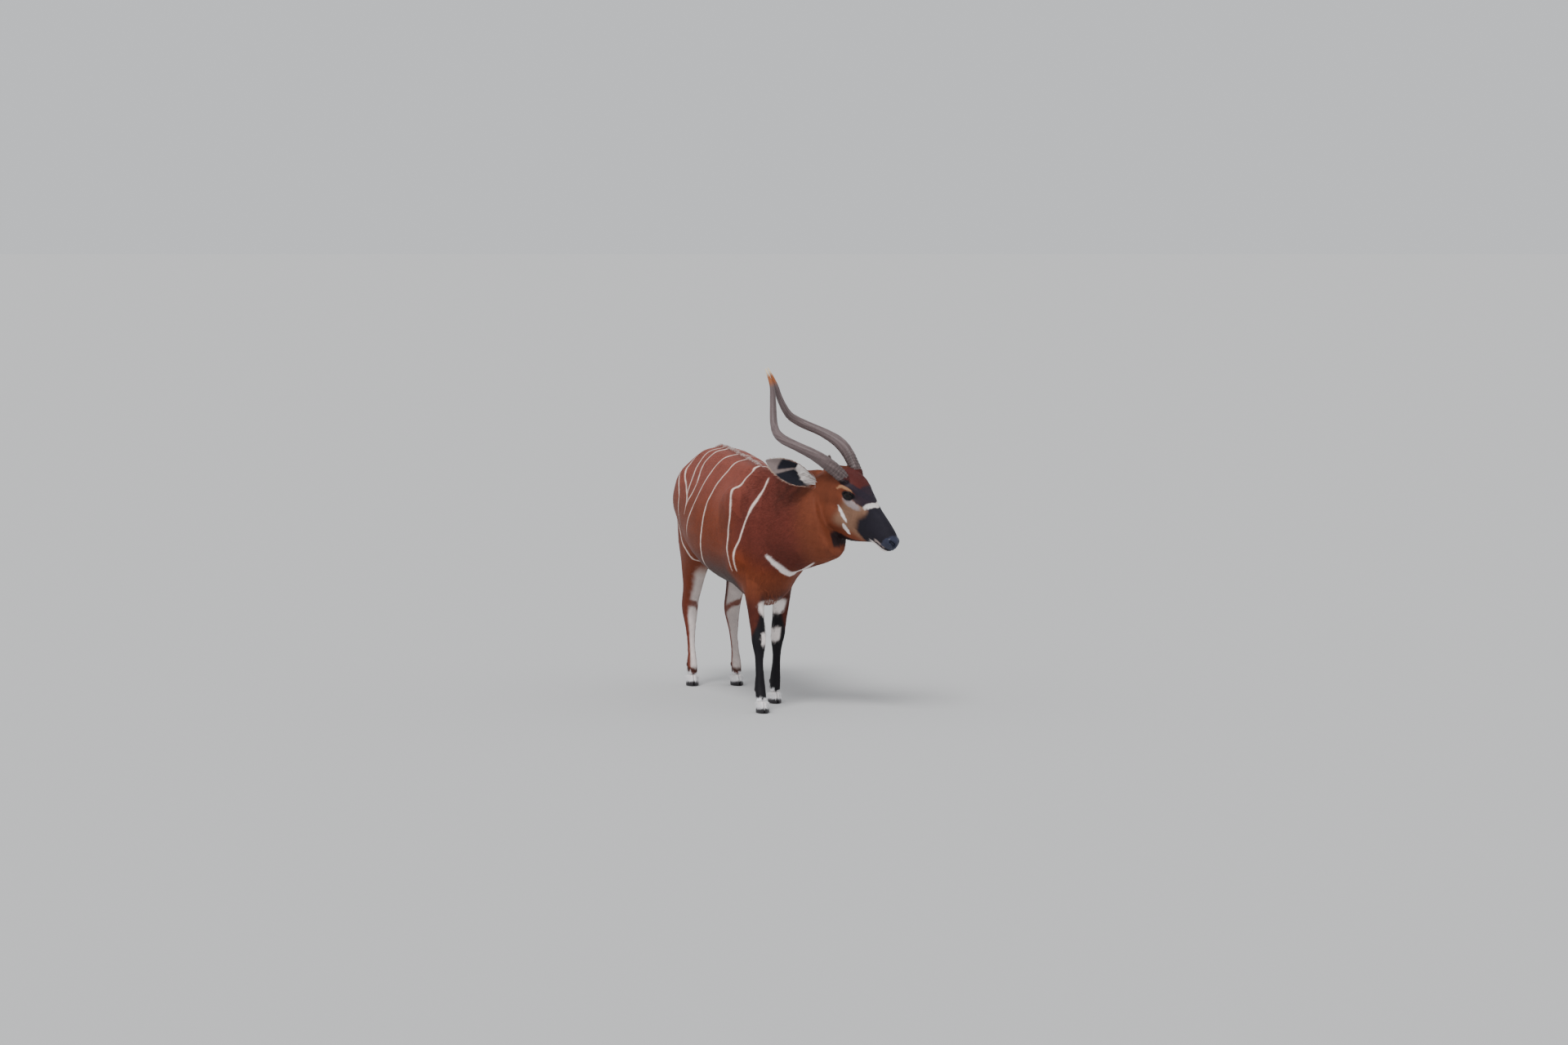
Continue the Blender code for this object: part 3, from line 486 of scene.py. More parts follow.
def body_colours(co):
    x, y, z = design(co).T
    c = repeated(CHESTNUT, len(co))
    # The top of the body is lighter and pinker: partly the coat's own brown, partly painted sky sheen from above
    c = laid(c, BACK_BROWN, 0.95 * ramp(z, 0.92, 1.14))
    c = laid(c, DEEP_CHESTNUT * 0.9, 0.85 * ramp(x, 0.34, 0.58) * ramp(z, 0.72, 0.86))
    # The underside between the legs is darkened: partly the belly's own dark brown, partly painted shade under the body
    c = laid(c, DARK_BROWN * 0.6, 0.95 * (1 - ramp(z, 0.62, 0.80)) * (1 - ramp(x, 0.42, 0.50)) * ramp(x, -0.34, -0.24))
    c = laid(c, RUSSET, 0.8 * ramp(x, 0.46, 0.58) * (1 - ramp(z, 0.60, 0.74)))
    c = laid(c, DARK_BROWN, 0.35 * (1 - ramp(np.abs(y), 0.01, 0.05)) * ramp(z, 1.12, 1.2))
    along, to_head = beyond(co, NECK_BASE), beyond(co, NECK_HEAD)
    neck = ramp(along, -0.05, 0.08) * ramp(z, 0.66, 0.74)
    c = laid(c, DEEP_CHESTNUT, 0.8 * neck)
    # The lower neck is darker still: painted shade under the neck
    c = laid(c, DEEP_CHESTNUT * 0.7, 0.7 * neck * (1 - ramp(z, 0.74, 0.90)))
    c = laid(c, RUSSET, 0.9 * neck * ramp(to_head, -0.14, -0.02) * (1 - ramp(z, 1.16, 1.24)))
    # A dark streaky band high on the neck behind the head: partly the neck's own dark streaks, partly painted shade
    # under the ear
    strands_and_ear_shade = 0.6 + 0.4 * wobble(np.stack([x * 3, y * 3, z * 0.5], axis=1), 0.09, 16)
    c = laid(c, DARK_BROWN, 0.6 * strands_and_ear_shade * neck * bump_at(to_head, -0.15, 0.10) * ramp(z, 0.94, 1.10))
    c = laid(c, STRIPE_WHITE, 0.92 * stripes_at(co))
    return laid(c, WHITE_HAIR, 0.92 * chest_crescent(co))


# The white crescent of the chest, as (to the left, height).
CHEST_CRESCENT = [(-0.052, 0.776), (-0.025, 0.752), (0.005, 0.725), (0.045, 0.695), (0.085, 0.680), (0.125, 0.700),
                  (0.155, 0.745)]


def chest_crescent(co, wider=0.0):
    x, y, z = design(co).T
    gap, share = off_line(np.stack([y, z], axis=1), curve_through(CHEST_CRESCENT))
    half = 0.002 + 0.011 * np.sin(np.pi * np.clip(share * 0.9 + 0.05, 0, 1)) + 0.002 * wobble(co, 0.05, 4) + wider
    return (1 - ramp(gap, half - 0.002, half + 0.003)) * (x > 0.52) * (beyond(co, NECK_HEAD) < -0.05)


def white_pastern(leg, turn, z, out):
    """The white band over each hoof, in two lobes."""
    edge = 0.069 - 0.012 * np.exp(-((out / 0.006) ** 2))
    return laid(leg, BRIGHT_WHITE, (1 - ramp(z, edge - 0.004, edge + 0.004)) * between(turn, -130, 130, 10))


def fore_leg(turn, z, out, left):
    """Turn is the bearing from the limb's middle: 0 ahead, 90 outside."""
    leg = repeated(CHESTNUT, len(z))
    leg = laid(leg, DEEP_CHESTNUT * 0.5, 0.85 * (1 - ramp(z, 0.52, 0.72)))
    leg = laid(leg, DARK_BROWN, 0.85 * (1 - ramp(z, 0.28, 0.38)))
    black_to = np.interp(z, [0.30, 0.36, 0.42, 0.50, 0.56], [150, 85, 20, -25, -75])
    leg = laid(leg, SOOT * 0.7, between(turn, -125, black_to, 12))
    leg = laid(leg, SOOT, between(turn, -120, -14, 10) * between(z, 0.538, 0.600, 0.009))
    white_to = np.interp(z, [0.45, 0.49, 0.54], [-56, -14, 4]) + 30 * left
    leg = laid(leg, WHITE_HAIR, between(turn, -125, white_to, 10) * between(z + 0.0002 * turn, 0.455, 0.530, 0.009))
    leg = laid(leg, WHITE_HAIR, between(turn, -125, -22 + 22 * left, 10) * between(z, 0.325, 0.388, 0.009))
    return white_pastern(leg, turn, z, out)


def hind_leg(turn, z, out, left):
    leg = repeated(CHESTNUT, len(z))
    leg = laid(leg, DEEP_CHESTNUT, 0.6 * (1 - ramp(z, 0.3, 0.6)))
    pale = between(turn, -62, np.interp(z, [0.30, 0.44], [30, 14]) + 22 * left, 12)
    pale *= (1 - ramp(z, 0.60, 0.67)) * ramp(z, 0.088, 0.104)
    pale *= 1 - 0.9 * bump_at(z - 0.0005 * turn, 0.432, 0.020)
    # The pale hair turns grey higher up, its own grey-white; on the left hind leg it is greyer and darker throughout:
    # painted shade
    grey_and_shade = 0.35 + 0.3 * np.maximum(left, ramp(z, 0.42, 0.46))
    hair = laid(repeated(WHITE_HAIR, len(z)), GREY_HAIR * (1 - 0.3 * left), grey_and_shade)
    hair = laid(hair, CREAM, 0.6 * ramp(z, 0.56, 0.64))
    leg = leg + (hair - leg) * pale[:, None]
    # Dark brown up the inside of the hind leg above the hock: painted shade of the inner thigh
    leg = laid(leg, DARK_BROWN, 0.75 * between(turn, -112, -70, 10) * ramp(z, 0.42, 0.48))
    leg = laid(leg, DARK_BROWN, 0.85 * between(z, 0.070, 0.098, 0.006))
    return white_pastern(leg, turn, z, out)


def limb_colours(co, c):
    """Lays the limbs' own colours over those of the body."""
    height = design(co)[:, 2] + 0.005 * wobble(co, 0.06, 5)
    shares = limb_shares(co)
    for foot, (ahead, out) in limb_places(co).items():
        here = np.flatnonzero(shares[foot] > 0)
        turn = np.degrees(np.arctan2(out[here], ahead[here])) + 3 * wobble(co[here], 0.05, 15)
        paint = fore_leg if foot.startswith("fore") else hind_leg
        leg = paint(turn, height[here], out[here], foot.endswith("left"))
        c[here] += (leg - c[here]) * shares[foot][here, None]
    return c


# Markings of the face in the head's frame, as ahead, aside and up.
BROW_BAND = [(0.088, 0.083, 0.062), (0.137, 0.076, 0.068), (0.179, 0.056, 0.066), (0.217, 0.028, 0.060),
             (0.240, 0.000, 0.056)]
EYE_BUFF = [(0.083, 0.088, 0.020), (0.086, 0.088, 0.034), (0.102, 0.088, 0.044), (0.128, 0.084, 0.050),
            (0.154, 0.077, 0.048)]
TEAR_LINE = [(0.166, 0.078, 0.028), (0.186, 0.073, 0.033), (0.209, 0.066, 0.038)]
UPPER_SPOT = [(0.130, 0.085, -0.050), (0.147, 0.084, -0.060), (0.169, 0.082, -0.073), (0.190, 0.077, -0.086),
              (0.208, 0.071, -0.097)]
LOWER_SPOT = [(0.203, 0.073, -0.118), (0.216, 0.058, -0.136), (0.232, 0.038, -0.148), (0.252, 0.026, -0.155)]


def stroke(q, points, half, soft, taper):
    """1 along a line of hair, thinner towards its ends."""
    gap, share = off_line(q, curve_through(points))
    wide = half * (1 - taper + taper * np.sin(np.pi * share))
    return 1 - ramp(gap, wide - soft, wide + soft)


def head_colours(co, c):
    """Lays the head's own colours over those of the body."""
    on = ramp(beyond(co, NECK_HEAD), -0.035, 0.015)
    here = np.flatnonzero(on > 0)
    q = folded(head_places(co[here]))
    q = q + 0.0020 * np.stack([wobble(q, 0.03, k) for k in (6, 7, 8)], axis=1)
    x, y, z = q.T
    face = repeated(RUSSET, len(q))
    face = laid(face, DARK_BROWN, 0.5 * (1 - ramp(x, 0.02, 0.10)) * ramp(z, 0.02, 0.07))
    face = laid(face, CHEEK, ramp(x, 0.12, 0.17) * (1 - ramp(z, 0.010, 0.034)) * ramp(z, -0.16, -0.11))
    below = np.hypot((x - 0.184) / 0.056, (z - 0.000) / 0.022)
    face = laid(face, PALE_CHEEK, 0.85 * (1 - ramp(below, 0.55, 1.15)) * ramp(y, 0.035, 0.05))
    crown = ramp(z - 0.30 * (0.14 - x), 0.046, 0.060)
    face = laid(face, FOREHEAD, crown)
    face = laid(face, BROW, 0.94 * stroke(q, BROW_BAND, 0.0175, 0.004, 0.15))
    brow_floor = np.interp(x, [0.165, 0.185, 0.220], [0.032, 0.019, 0.017])
    face = laid(face, BROW, 0.92 * ramp(x, 0.160, 0.176) * ramp(z - brow_floor, -0.005, 0.005))
    face = laid(face, BUFF, stroke(q, EYE_BUFF, 0.0070, 0.003, 0.35))
    # the muzzle's edge runs back from below the chevron over the side of the face to the corner of the mouth
    edge = np.interp(z, [-0.135, -0.119, -0.105, -0.052, -0.016, 0.024, 0.04],
                     [0.335, 0.300, 0.268, 0.254, 0.272, 0.262, 0.275])
    face = laid(face, DARK_BROWN * 1.3, 0.55 * ramp(x - edge, -0.036, 0.002) * (1 - ramp(z, -0.020, 0.010)))
    face = laid(face, MUZZLE, ramp(x - edge, -0.014, 0.014))
    middle = np.interp(y, [0, 0.012, 0.035, 0.055, 0.066], [0.272, 0.269, 0.258, 0.244, 0.236])
    half = np.interp(y, [0, 0.035, 0.052, 0.062], [0.0125, 0.0125, 0.008, 0.003])
    bar = (1 - ramp(np.abs(x - middle), half - 0.003, half + 0.003)) * ramp(z, -0.004, 0.010)
    # The white chevron on the nose is laid at only 0.78, so it reads grey: painted shade over it
    face = laid(face, WHITE_HAIR, 0.78 * bar * (1 - ramp(y, 0.050, 0.062)))
    floor_of = np.interp(x, [0.13, 0.18, 0.25, 0.30, 0.35], [-0.206, -0.192, -0.178, -0.157, -0.130])
    throat = (1 - ramp(z - floor_of, -0.006, 0.006)) * ramp(z, -0.262, -0.246)
    throat *= ramp(x, 0.150, 0.172) * (1 - ramp(x, 0.31, 0.35)) * (1 - ramp(y, 0.060, 0.075))
    face = laid(face, SOOT, 0.92 * throat)
    face = laid(face, WHITE_HAIR, stroke(q, UPPER_SPOT, 0.0080, 0.0025, 0.7))
    face = laid(face, WHITE_HAIR, stroke(q, LOWER_SPOT, 0.0105, 0.0025, 0.6))
    face = laid(face, WHITE_HAIR, 0.95 * ramp(x, 0.335, 0.365) * (1 - ramp(z, -0.104, -0.096)))
    lip = ramp(x, 0.36, 0.38) * bump_at(z, -0.084, 0.009) * (1 - ramp(x, 0.425, 0.44))
    face = laid(face, GREY_HAIR, 0.6 * lip)
    face = laid(face, NOSE_PAD, nose_pad(q))
    # Near black in the nostrils' openings: painted shade inside them
    face = laid(face, SOOT * 0.4, stroke(q, NOSTRIL, 0.0080, 0.002, 0.3))
    face = laid(face, SOOT, 0.9 * stroke(q, TEAR_LINE, 0.0056, 0.003, 0.3))
    face = laid(face, SOOT * 0.8, 1 - ramp(eye_rho(q), 1.26, 1.54))
    c[here] += (face - c[here]) * on[here, None]
    return c


def nose_pad(q):
    """1 on the bare wet pad around the nostrils. Places are in the head's frame."""
    x, y, z = q[:, 0], np.abs(q[:, 1]), q[:, 2]
    return ramp(x + 0.30 * y - 0.25 * (z + 0.05), 0.424, 0.434) * between(z, -0.084, -0.012, 0.006)


# The white hair at an ear's root: share along the ear and rise to its upper rim, of roots and of tips.
EAR_ROOTS = [(0.03, 0.016), (0.09, 0.030), (0.20, 0.032), (0.30, 0.046), (0.38, 0.054), (0.46, 0.058)]
EAR_TIPS = [(0.24, -0.010), (0.30, -0.006), (0.34, 0.000), (0.385, 0.014), (0.41, 0.022), (0.43, 0.030)]
EAR_STREAK = [(0.76, -0.028), (0.69, -0.016), (0.62, -0.002), (0.53, 0.016), (0.45, 0.030)]
EAR_HALF = [(0.0, 0.022), (0.08, 0.027), (0.18, 0.036), (0.32, 0.053), (0.48, 0.061), (0.64, 0.057), (0.80, 0.042),
            (0.92, 0.023), (1.0, 0.006)]


def ear_marks(co, side):
    """Share along an ear, rise towards its upper rim, and nearness to the rim."""
    share, across, _ = ear_places(co, side)
    rise = across if side == "right" else -across
    widths = np.array(EAR_HALF)
    return share, rise, np.abs(rise) / np.interp(share, widths[:, 0], widths[:, 1])


def ear_colours(co, normals, c, on_ear):
    for side in SIDES:
        here = np.flatnonzero(on_ear[side] > 0)
        if not len(here):
            continue
        share, rise, rim = ear_marks(co[here], side)
        inner = ramp(normals[here] @ ear_axes(side)[2], -0.05, 0.25)
        ear = repeated(DEEP_CHESTNUT, len(here))
        ear = laid(ear, DARK_BROWN, 0.8 * ramp(share, 0.3, 0.6) * ramp(rise, 0.0, 0.03))
        ear = laid(ear, DARK_BROWN, 0.4 * ramp(share, 0.6, 0.9))
        cup = repeated(EAR_INSIDE, len(here))
        flat = np.stack([share * EAR_LENGTH, rise], axis=1)
        line = curve_through([(s * EAR_LENGTH, r) for s, r in EAR_STREAK])
        gap, at = off_line(flat, line)
        cup = laid(cup, EAR_PALE, 0.9 * (1 - ramp(gap, 0.006 - 0.004 * at, 0.014 - 0.009 * at)))
        cup = laid(cup, EAR_PALE, ramp(share + 0.5 * np.abs(rise) - 0.25 * rise, 0.75, 0.79))
        cup = laid(cup, EAR_PALE, 0.8 * between(rim, 0.86, 1.2, 0.05) * between(share, 0.45, 0.9, 0.04))
        root = 1 - ramp(share + 1.2 * (0.02 - rise), 0.22, 0.30)
        cup = laid(cup, WHITE_HAIR, 0.9 * root * ramp(rise, -0.030, -0.012))
        cup = laid(cup, BUFF, 0.8 * (1 - ramp(share, 0.16, 0.26)) * (1 - ramp(rise, -0.040, -0.026)))
        ear = ear + (cup - ear) * inner[:, None]
        c[here] += (ear - c[here]) * on_ear[side][here, None]
    return c


def tail_path():
    """The tail's middle line where the model stands."""
    return curve_through([placed(point[:3]) for point in TAIL])


def tail_share(co):
    """Whether each point is on the tail, and its share along it."""
    gap, share = off_line(design(co), curve_through([point[:3] for point in TAIL]))
    return (gap < 0.045) & (design(co)[:, 0] < -0.70), share


def coat_colours(co, normals, on_ear=None):
    """The coat's colour at each place, on the skin and at the roots of the hair alike."""
    c = body_colours(co)
    c = limb_colours(co, c)
    c = head_colours(co, c)
    rear = np.flatnonzero(design(co)[:, 0] < -0.66)
    on_tail, share = tail_share(co[rear])
    tail = laid(repeated(CHESTNUT, len(rear)), DARK_BROWN, ramp(share, 0.5, 0.75))
    c[rear[on_tail]] = tail[on_tail]
    if on_ear:
        c = ear_colours(co, normals, c, on_ear)
    shade = 1 + 0.07 * wobble(co, 0.11, 9) + 0.045 * wobble(co, 0.025, 10)
    return np.clip(c * shade[:, None], 0, 1)


# The head's finer forms, in its own frame


def eye_turn():
    """Rows are ahead, up the lid and out of the left eye, in the head's frame."""
    out = unit(np.array(EYE_FACES))
    ahead = unit(np.array((1.0, 0, 0)) - out * out[0])
    up = np.cross(ahead, out)
    a = math.radians(EYE_SLANT)
    return np.array([ahead * math.cos(a) + up * math.sin(a), up * math.cos(a) - ahead * math.sin(a), out])


def eye_axes(q):
    """Places about the nearer eye, as ahead, up and out of it. q is in the head's frame."""
    return (folded(q) - np.array(EYE_AT)) @ eye_turn().T


def eye_rho(q):
    """1 on the edge of the lids' opening, less inside it."""
    u, v, n = eye_axes(q).T
    rho = (np.abs(u / EYE_OPENING[0]) ** 1.75 + np.abs(v / EYE_OPENING[1]) ** 1.75) ** 0.57
    return np.where(n > 0, rho, 9.0)


MOUTH = [
    (0.335, 0.0400, -0.096),
    (0.370, 0.0360, -0.092),
    (0.400, 0.0345, -0.090),
    (0.428, 0.0310, -0.089),
    (0.448, 0.0220, -0.088),
    (0.458, 0.0100, -0.087),
    (0.462, 0.0000, -0.087),
]
NOSTRIL = [(0.447, 0.033, -0.038), (0.459, 0.027, -0.040), (0.467, 0.019, -0.048), (0.466, 0.014, -0.056)]


def sculpted_head(q, normals):
    """Moves the head's points into lids, lips, nostrils and folds. All is in the head's frame."""
    m = folded(q)
    side = np.where(q[:, 1] < 0, -1.0, 1.0)
    push = np.zeros(len(q))
    gap, share = off_line(m, curve_through(MOUTH))
    fade = ramp(share, 0.0, 0.10)
    push -= 0.0075 * fade * np.exp(-((gap / 0.0024) ** 2))
    push += 0.0016 * fade * np.exp(-(((gap - 0.0075) / 0.005) ** 2))
    gap, share = off_line(m, curve_through(NOSTRIL))
    wide = 0.0054 + 0.0030 * np.sin(np.pi * np.clip(share * 0.8 + 0.1, 0, 1))
    push -= 0.012 * (1 - ramp(gap, wide * 0.55, wide * 1.35))
    push += 0.0022 * np.exp(-(((gap - wide * 2.0) / 0.0035) ** 2))
    cleft = np.exp(-((m[:, 1] / 0.0016) ** 2)) * ramp(m[:, 0], 0.44, 0.455) * ramp(-m[:, 2], 0.050, 0.060)
    push -= 0.0018 * cleft * ramp(m[:, 2], -0.092, -0.084)
    # the hollow ahead of the eye, the brow over it, and the lids
    axes = eye_axes(q)
    hollow = np.exp(-(((axes[:, 0] - 0.048) / 0.017) ** 2) - ((axes[:, 1] + 0.004) / 0.012) ** 2)
    brow = np.exp(-(((axes[:, 1] - 0.036) / 0.010) ** 2) - ((axes[:, 0] + 0.004) / 0.034) ** 2)
    push += (0.0030 * brow - 0.0036 * hollow) * (axes[:, 2] > 0)
    moved = q + normals * push[:, None]
    rho = eye_rho(q)
    away = np.linalg.norm(axes, axis=1)
    near = (rho < 3.2) & (away < 0.070) & (axes[:, 2] > 0)
    rim = EYE_RADIUS + 0.0024
    well = EYE_RADIUS - 0.0045
    lid = np.where(rho < 1.0, well + (rim - well) * ramp(rho, 0.90, 1.02), rim - 0.0006 * ramp(rho, 1.02, 1.25))
    blend = ramp(rho, 1.35, 2.6)
    above = axes[:, 1] > 0
    crease = np.where(above, 0.0022, 0.0012) * np.exp(-(((rho - 1.62) / 0.13) ** 2))
    pouch = 0.0010 * np.exp(-(((rho - 1.95) / 0.16) ** 2))
    r = lid * (1 - blend) + away * blend - crease + pouch * (1 - blend * 0.5)
    scale = np.where(near, r / np.maximum(away, 1e-6), 1.0)
    centre = repeated(np.array(EYE_AT), len(q))
    centre[:, 1] *= side
    return np.where(near[:, None], centre + (moved - centre) * scale[:, None], moved)


# The skin

VOXEL = 0.006
SKIN_TARGET = 73000  # triangles, before the head is refined
# How far the skin lies under the tips of the coat
BODY_DEPTH, LIMB_DEPTH, HEAD_DEPTH, MUZZLE_DEPTH = 0.0034, 0.0026, 0.0022, 0.0008


def merged_copy(name, nodes, grow=0.0):
    bm = bmesh.new()
    for node in nodes:
        bm.from_mesh(NODES[node].data)
    bmesh.ops.remove_doubles(bm, verts=bm.verts, dist=0.00001)
    bm.normal_update()
    for vertex in bm.verts:
        vertex.co += vertex.normal * grow
    mesh = bpy.data.meshes.new(name)
    bm.to_mesh(mesh)
    bm.free()
    return linked(mesh, name)


def stub(name, node, at, way):
    """The root of a node, cut off square beyond a place and closed."""
    made = merged_copy(name, [node], 0.0004)
    bm = bmesh.new()
    bm.from_mesh(made.data)
    cut = bmesh.ops.bisect_plane(
        bm, geom=[*bm.verts, *bm.edges, *bm.faces], plane_co=at, plane_no=way, clear_outer=True
    )
    edges = [item for item in cut["geom_cut"] if isinstance(item, bmesh.types.BMEdge)]
    bmesh.ops.holes_fill(bm, edges=edges)
    bmesh.ops.triangulate(bm, faces=bm.faces)
    bm.to_mesh(made.data)
    bm.free()
    return made


def tube(name, path, radii):
    """A closed tube along a path, made as a curve and converted."""
    curve = bpy.data.curves.new(name, "CURVE")
    curve.dimensions = "3D"
    curve.bevel_depth = 1.0
    curve.bevel_resolution = 2
    curve.use_fill_caps = True
    spline = curve.splines.new("POLY")
    spline.points.add(len(path) - 1)
    for point, co, radius in zip(spline.points, path, radii):
        point.co = (*co, 1)
        point.radius = radius
    made = linked(curve, name)
    select_only(made)
    bpy.ops.object.convert(target="MESH")
    return bpy.context.view_layer.objects.active


def joined(name, things):
    select_only(*things)
    bpy.ops.object.join()
    made = bpy.context.view_layer.objects.active
    made.name = name
    bpy.ops.object.select_all(action="DESELECT")
    return made


def coat_depth(co):
    depth = np.full(len(co), BODY_DEPTH)
    head = ramp(beyond(co, NECK_HEAD), -0.05, 0.05)
    muzzle = ramp(head_places(co)[:, 0], 0.16, 0.36) * head
    depth += (HEAD_DEPTH - depth) * head
    depth += (MUZZLE_DEPTH - depth) * muzzle
    for on in limb_shares(co).values():
        depth += (LIMB_DEPTH - depth) * on
    return depth


def flattened_crest(co):
    """Takes the solids' locks off the spine, where finer hair will stand."""
    p = design(co)
    x_bins = np.arange(-0.74, 0.44, 0.02)
    beside = (np.abs(p[:, 1]) > 0.045) & (np.abs(p[:, 1]) < 0.065) & (p[:, 2] > 0.95)
    tops = [np.max(p[beside & (np.abs(p[:, 0] - x) < 0.02), 2], initial=0.9) for x in x_bins]
    limit = np.interp(p[:, 0], x_bins, tops) + 0.008 * (1 - (p[:, 1] / 0.05) ** 2)
    spine = (np.abs(p[:, 1]) < 0.045) & (p[:, 2] > 1.0) & (p[:, 0] > -0.70) & (p[:, 0] < 0.40)
    co[spine, 2] = np.minimum(co[spine, 2], limit[spine] + SHIFT.z)
    return co


def freedom(co):
    """How freely the skin may be smoothed."""
    head = ramp(beyond(co, NECK_HEAD), -0.06, 0.02)
    free = np.full(len(co), 1.0)
    free += (0.12 - free) * head
    free += (0.20 - free) * on_limbs(co)
    free[tail_share(co)[0]] = 0.1
    return free


def refine(thing, chosen):
    """Subdivides the faces whose middles are chosen."""
    select_only(thing)
    bpy.ops.object.mode_set(mode="EDIT")
    bpy.ops.mesh.select_all(action="DESELECT")
    bpy.ops.object.mode_set(mode="OBJECT")
    middles = np.empty(len(thing.data.polygons) * 3)
    thing.data.polygons.foreach_get("center", middles)
    thing.data.polygons.foreach_set("select", chosen(middles.reshape(-1, 3)))
    bpy.ops.object.mode_set(mode="EDIT")
    bpy.context.tool_settings.mesh_select_mode = (False, False, True)
    bpy.ops.mesh.subdivide(number_cuts=1)
    bpy.ops.object.mode_set(mode="OBJECT")


def on_head(middles):
    q = head_places(middles)
    return (beyond(middles, NECK_HEAD) > 0.0) & (q[:, 0] > 0.06) & (q[:, 2] > -0.19)


def on_face(middles):
    q = head_places(middles)
    eyes = np.linalg.norm(eye_axes(q), axis=1) < 0.041
    muzzle = (q[:, 0] > 0.372) & (q[:, 2] < -0.01)
    return (beyond(middles, NECK_HEAD) > 0.0) & (eyes | muzzle)


def on_edges(middles):
    """The lids' margins, the mouth line and the nostrils."""
    q = folded(head_places(middles))
    rho = eye_rho(q)
    lips = off_line(q, curve_through(MOUTH))[0] < 0.0045
    nostrils = off_line(q, curve_through(NOSTRIL))[0] < 0.009
    lids = (rho > 0.86) & (rho < 1.20) & (np.linalg.norm(eye_axes(q), axis=1) < 0.05)
    return (beyond(middles, NECK_HEAD) > 0.0) & (lids | lips | nostrils)


def skin():
    things = [merged_copy("skin", ["torso", "neck", "head", "eye_left", "eye_right", *LIMB_NODES], 0.0005)]
    for side, sign in SIDES.items():
        way = Matrix.Rotation(math.radians(HEAD_YAW), 3, "Z") @ Vector(EAR_POSE[side][0])
        way.normalize()
        things.append(stub("ear_root", f"ear_{side}", ear_root(side) + way * 0.050, way))
        base = HEAD @ Vector((HORN_AT[0], sign * 0.062, HORN_AT[2] + 0.020))
        things.append(stub("horn_root", f"horn_{side}", base, HEAD.to_3x3() @ Vector((-0.3, 0, 1)).normalized()))
    radii = curve_through([(radius, 0) for *_, radius in TAIL])[:, 0]
    things.append(tube("tail_core", tail_path(), radii))
    made = joined("skin", things)
    made.data.materials.clear()
    applied(made, "REMESH", mode="VOXEL", voxel_size=VOXEL)
    set_points(made, flattened_crest(points_of(made)))
    weigh(made, "free", freedom(points_of(made)))
    applied(made, "SMOOTH", factor=0.5, iterations=110, vertex_group="free")
    made.vertex_groups.clear()
    co = points_of(made)
    marked = ramp(np.maximum(stripes_at(co, 0.008), chest_crescent(co, 0.010)), 0.0, 0.3)
    sparse = 1 - 0.9 * ramp(beyond(co, NECK_HEAD), -0.1, 0.0) - 0.3 * (design(co)[:, 2] < 0.6)
    weigh(made, "sparse", np.minimum(sparse, 1 - 0.9 * marked))
    triangles = 2 * len(made.data.polygons)
    applied(made, "DECIMATE", ratio=min(0.62, SKIN_TARGET / triangles), vertex_group="sparse", vertex_group_factor=1.0)
    made.vertex_groups.clear()
    co = points_of(made)
    set_points(made, co - normals_of(made) * coat_depth(co)[:, None])
    refine(made, on_head)
    weigh(made, "head", ramp(beyond(points_of(made), NECK_HEAD), 0.0, 0.03))
    applied(made, "SMOOTH", factor=0.5, iterations=6, vertex_group="head")
    refine(made, on_face)
    applied(made, "SMOOTH", factor=0.5, iterations=4, vertex_group="head")
    refine(made, on_edges)
    applied(made, "SMOOTH", factor=0.5, iterations=2, vertex_group="head")
    made.vertex_groups.clear()
    bm = bmesh.new()
    bm.from_mesh(made.data)
    bmesh.ops.triangulate(bm, faces=bm.faces)
    bm.to_mesh(made.data)
    bm.free()
    co = points_of(made)
    head = (beyond(co, NECK_HEAD) > 0.01) & (head_places(co)[:, 0] > 0.04)
    q = head_places(co[head])
    turn = np.array(HEAD.to_3x3())
    co[head] = moved_by(HEAD, sculpted_head(q, normals_of(made)[head] @ turn))
    set_points(made, co)
    return made


def ear_skin(side):
    made = merged_copy(f"ear_skin_{side}", [f"ear_{side}"])
    applied(made, "SUBSURF", levels=2, render_levels=2)
    return made


# Materials


def node(tree, kind, **values):
    made = tree.nodes.new(kind)
    for key, value in values.items():
        if key in made.inputs:
            made.inputs[key].default_value = value
        else:
            setattr(made, key, value)
    return made


def new_group(name, inputs, outputs):
    group = bpy.data.node_groups.new(name, "ShaderNodeTree")
    for label, kind, default in inputs:
        socket = group.interface.new_socket(label, in_out="INPUT", socket_type=kind)
        if default is not None:
            socket.default_value = default
    for label, kind in outputs:
        group.interface.new_socket(label, in_out="OUTPUT", socket_type=kind)
    return group, group.nodes.new("NodeGroupInput"), group.nodes.new("NodeGroupOutput")


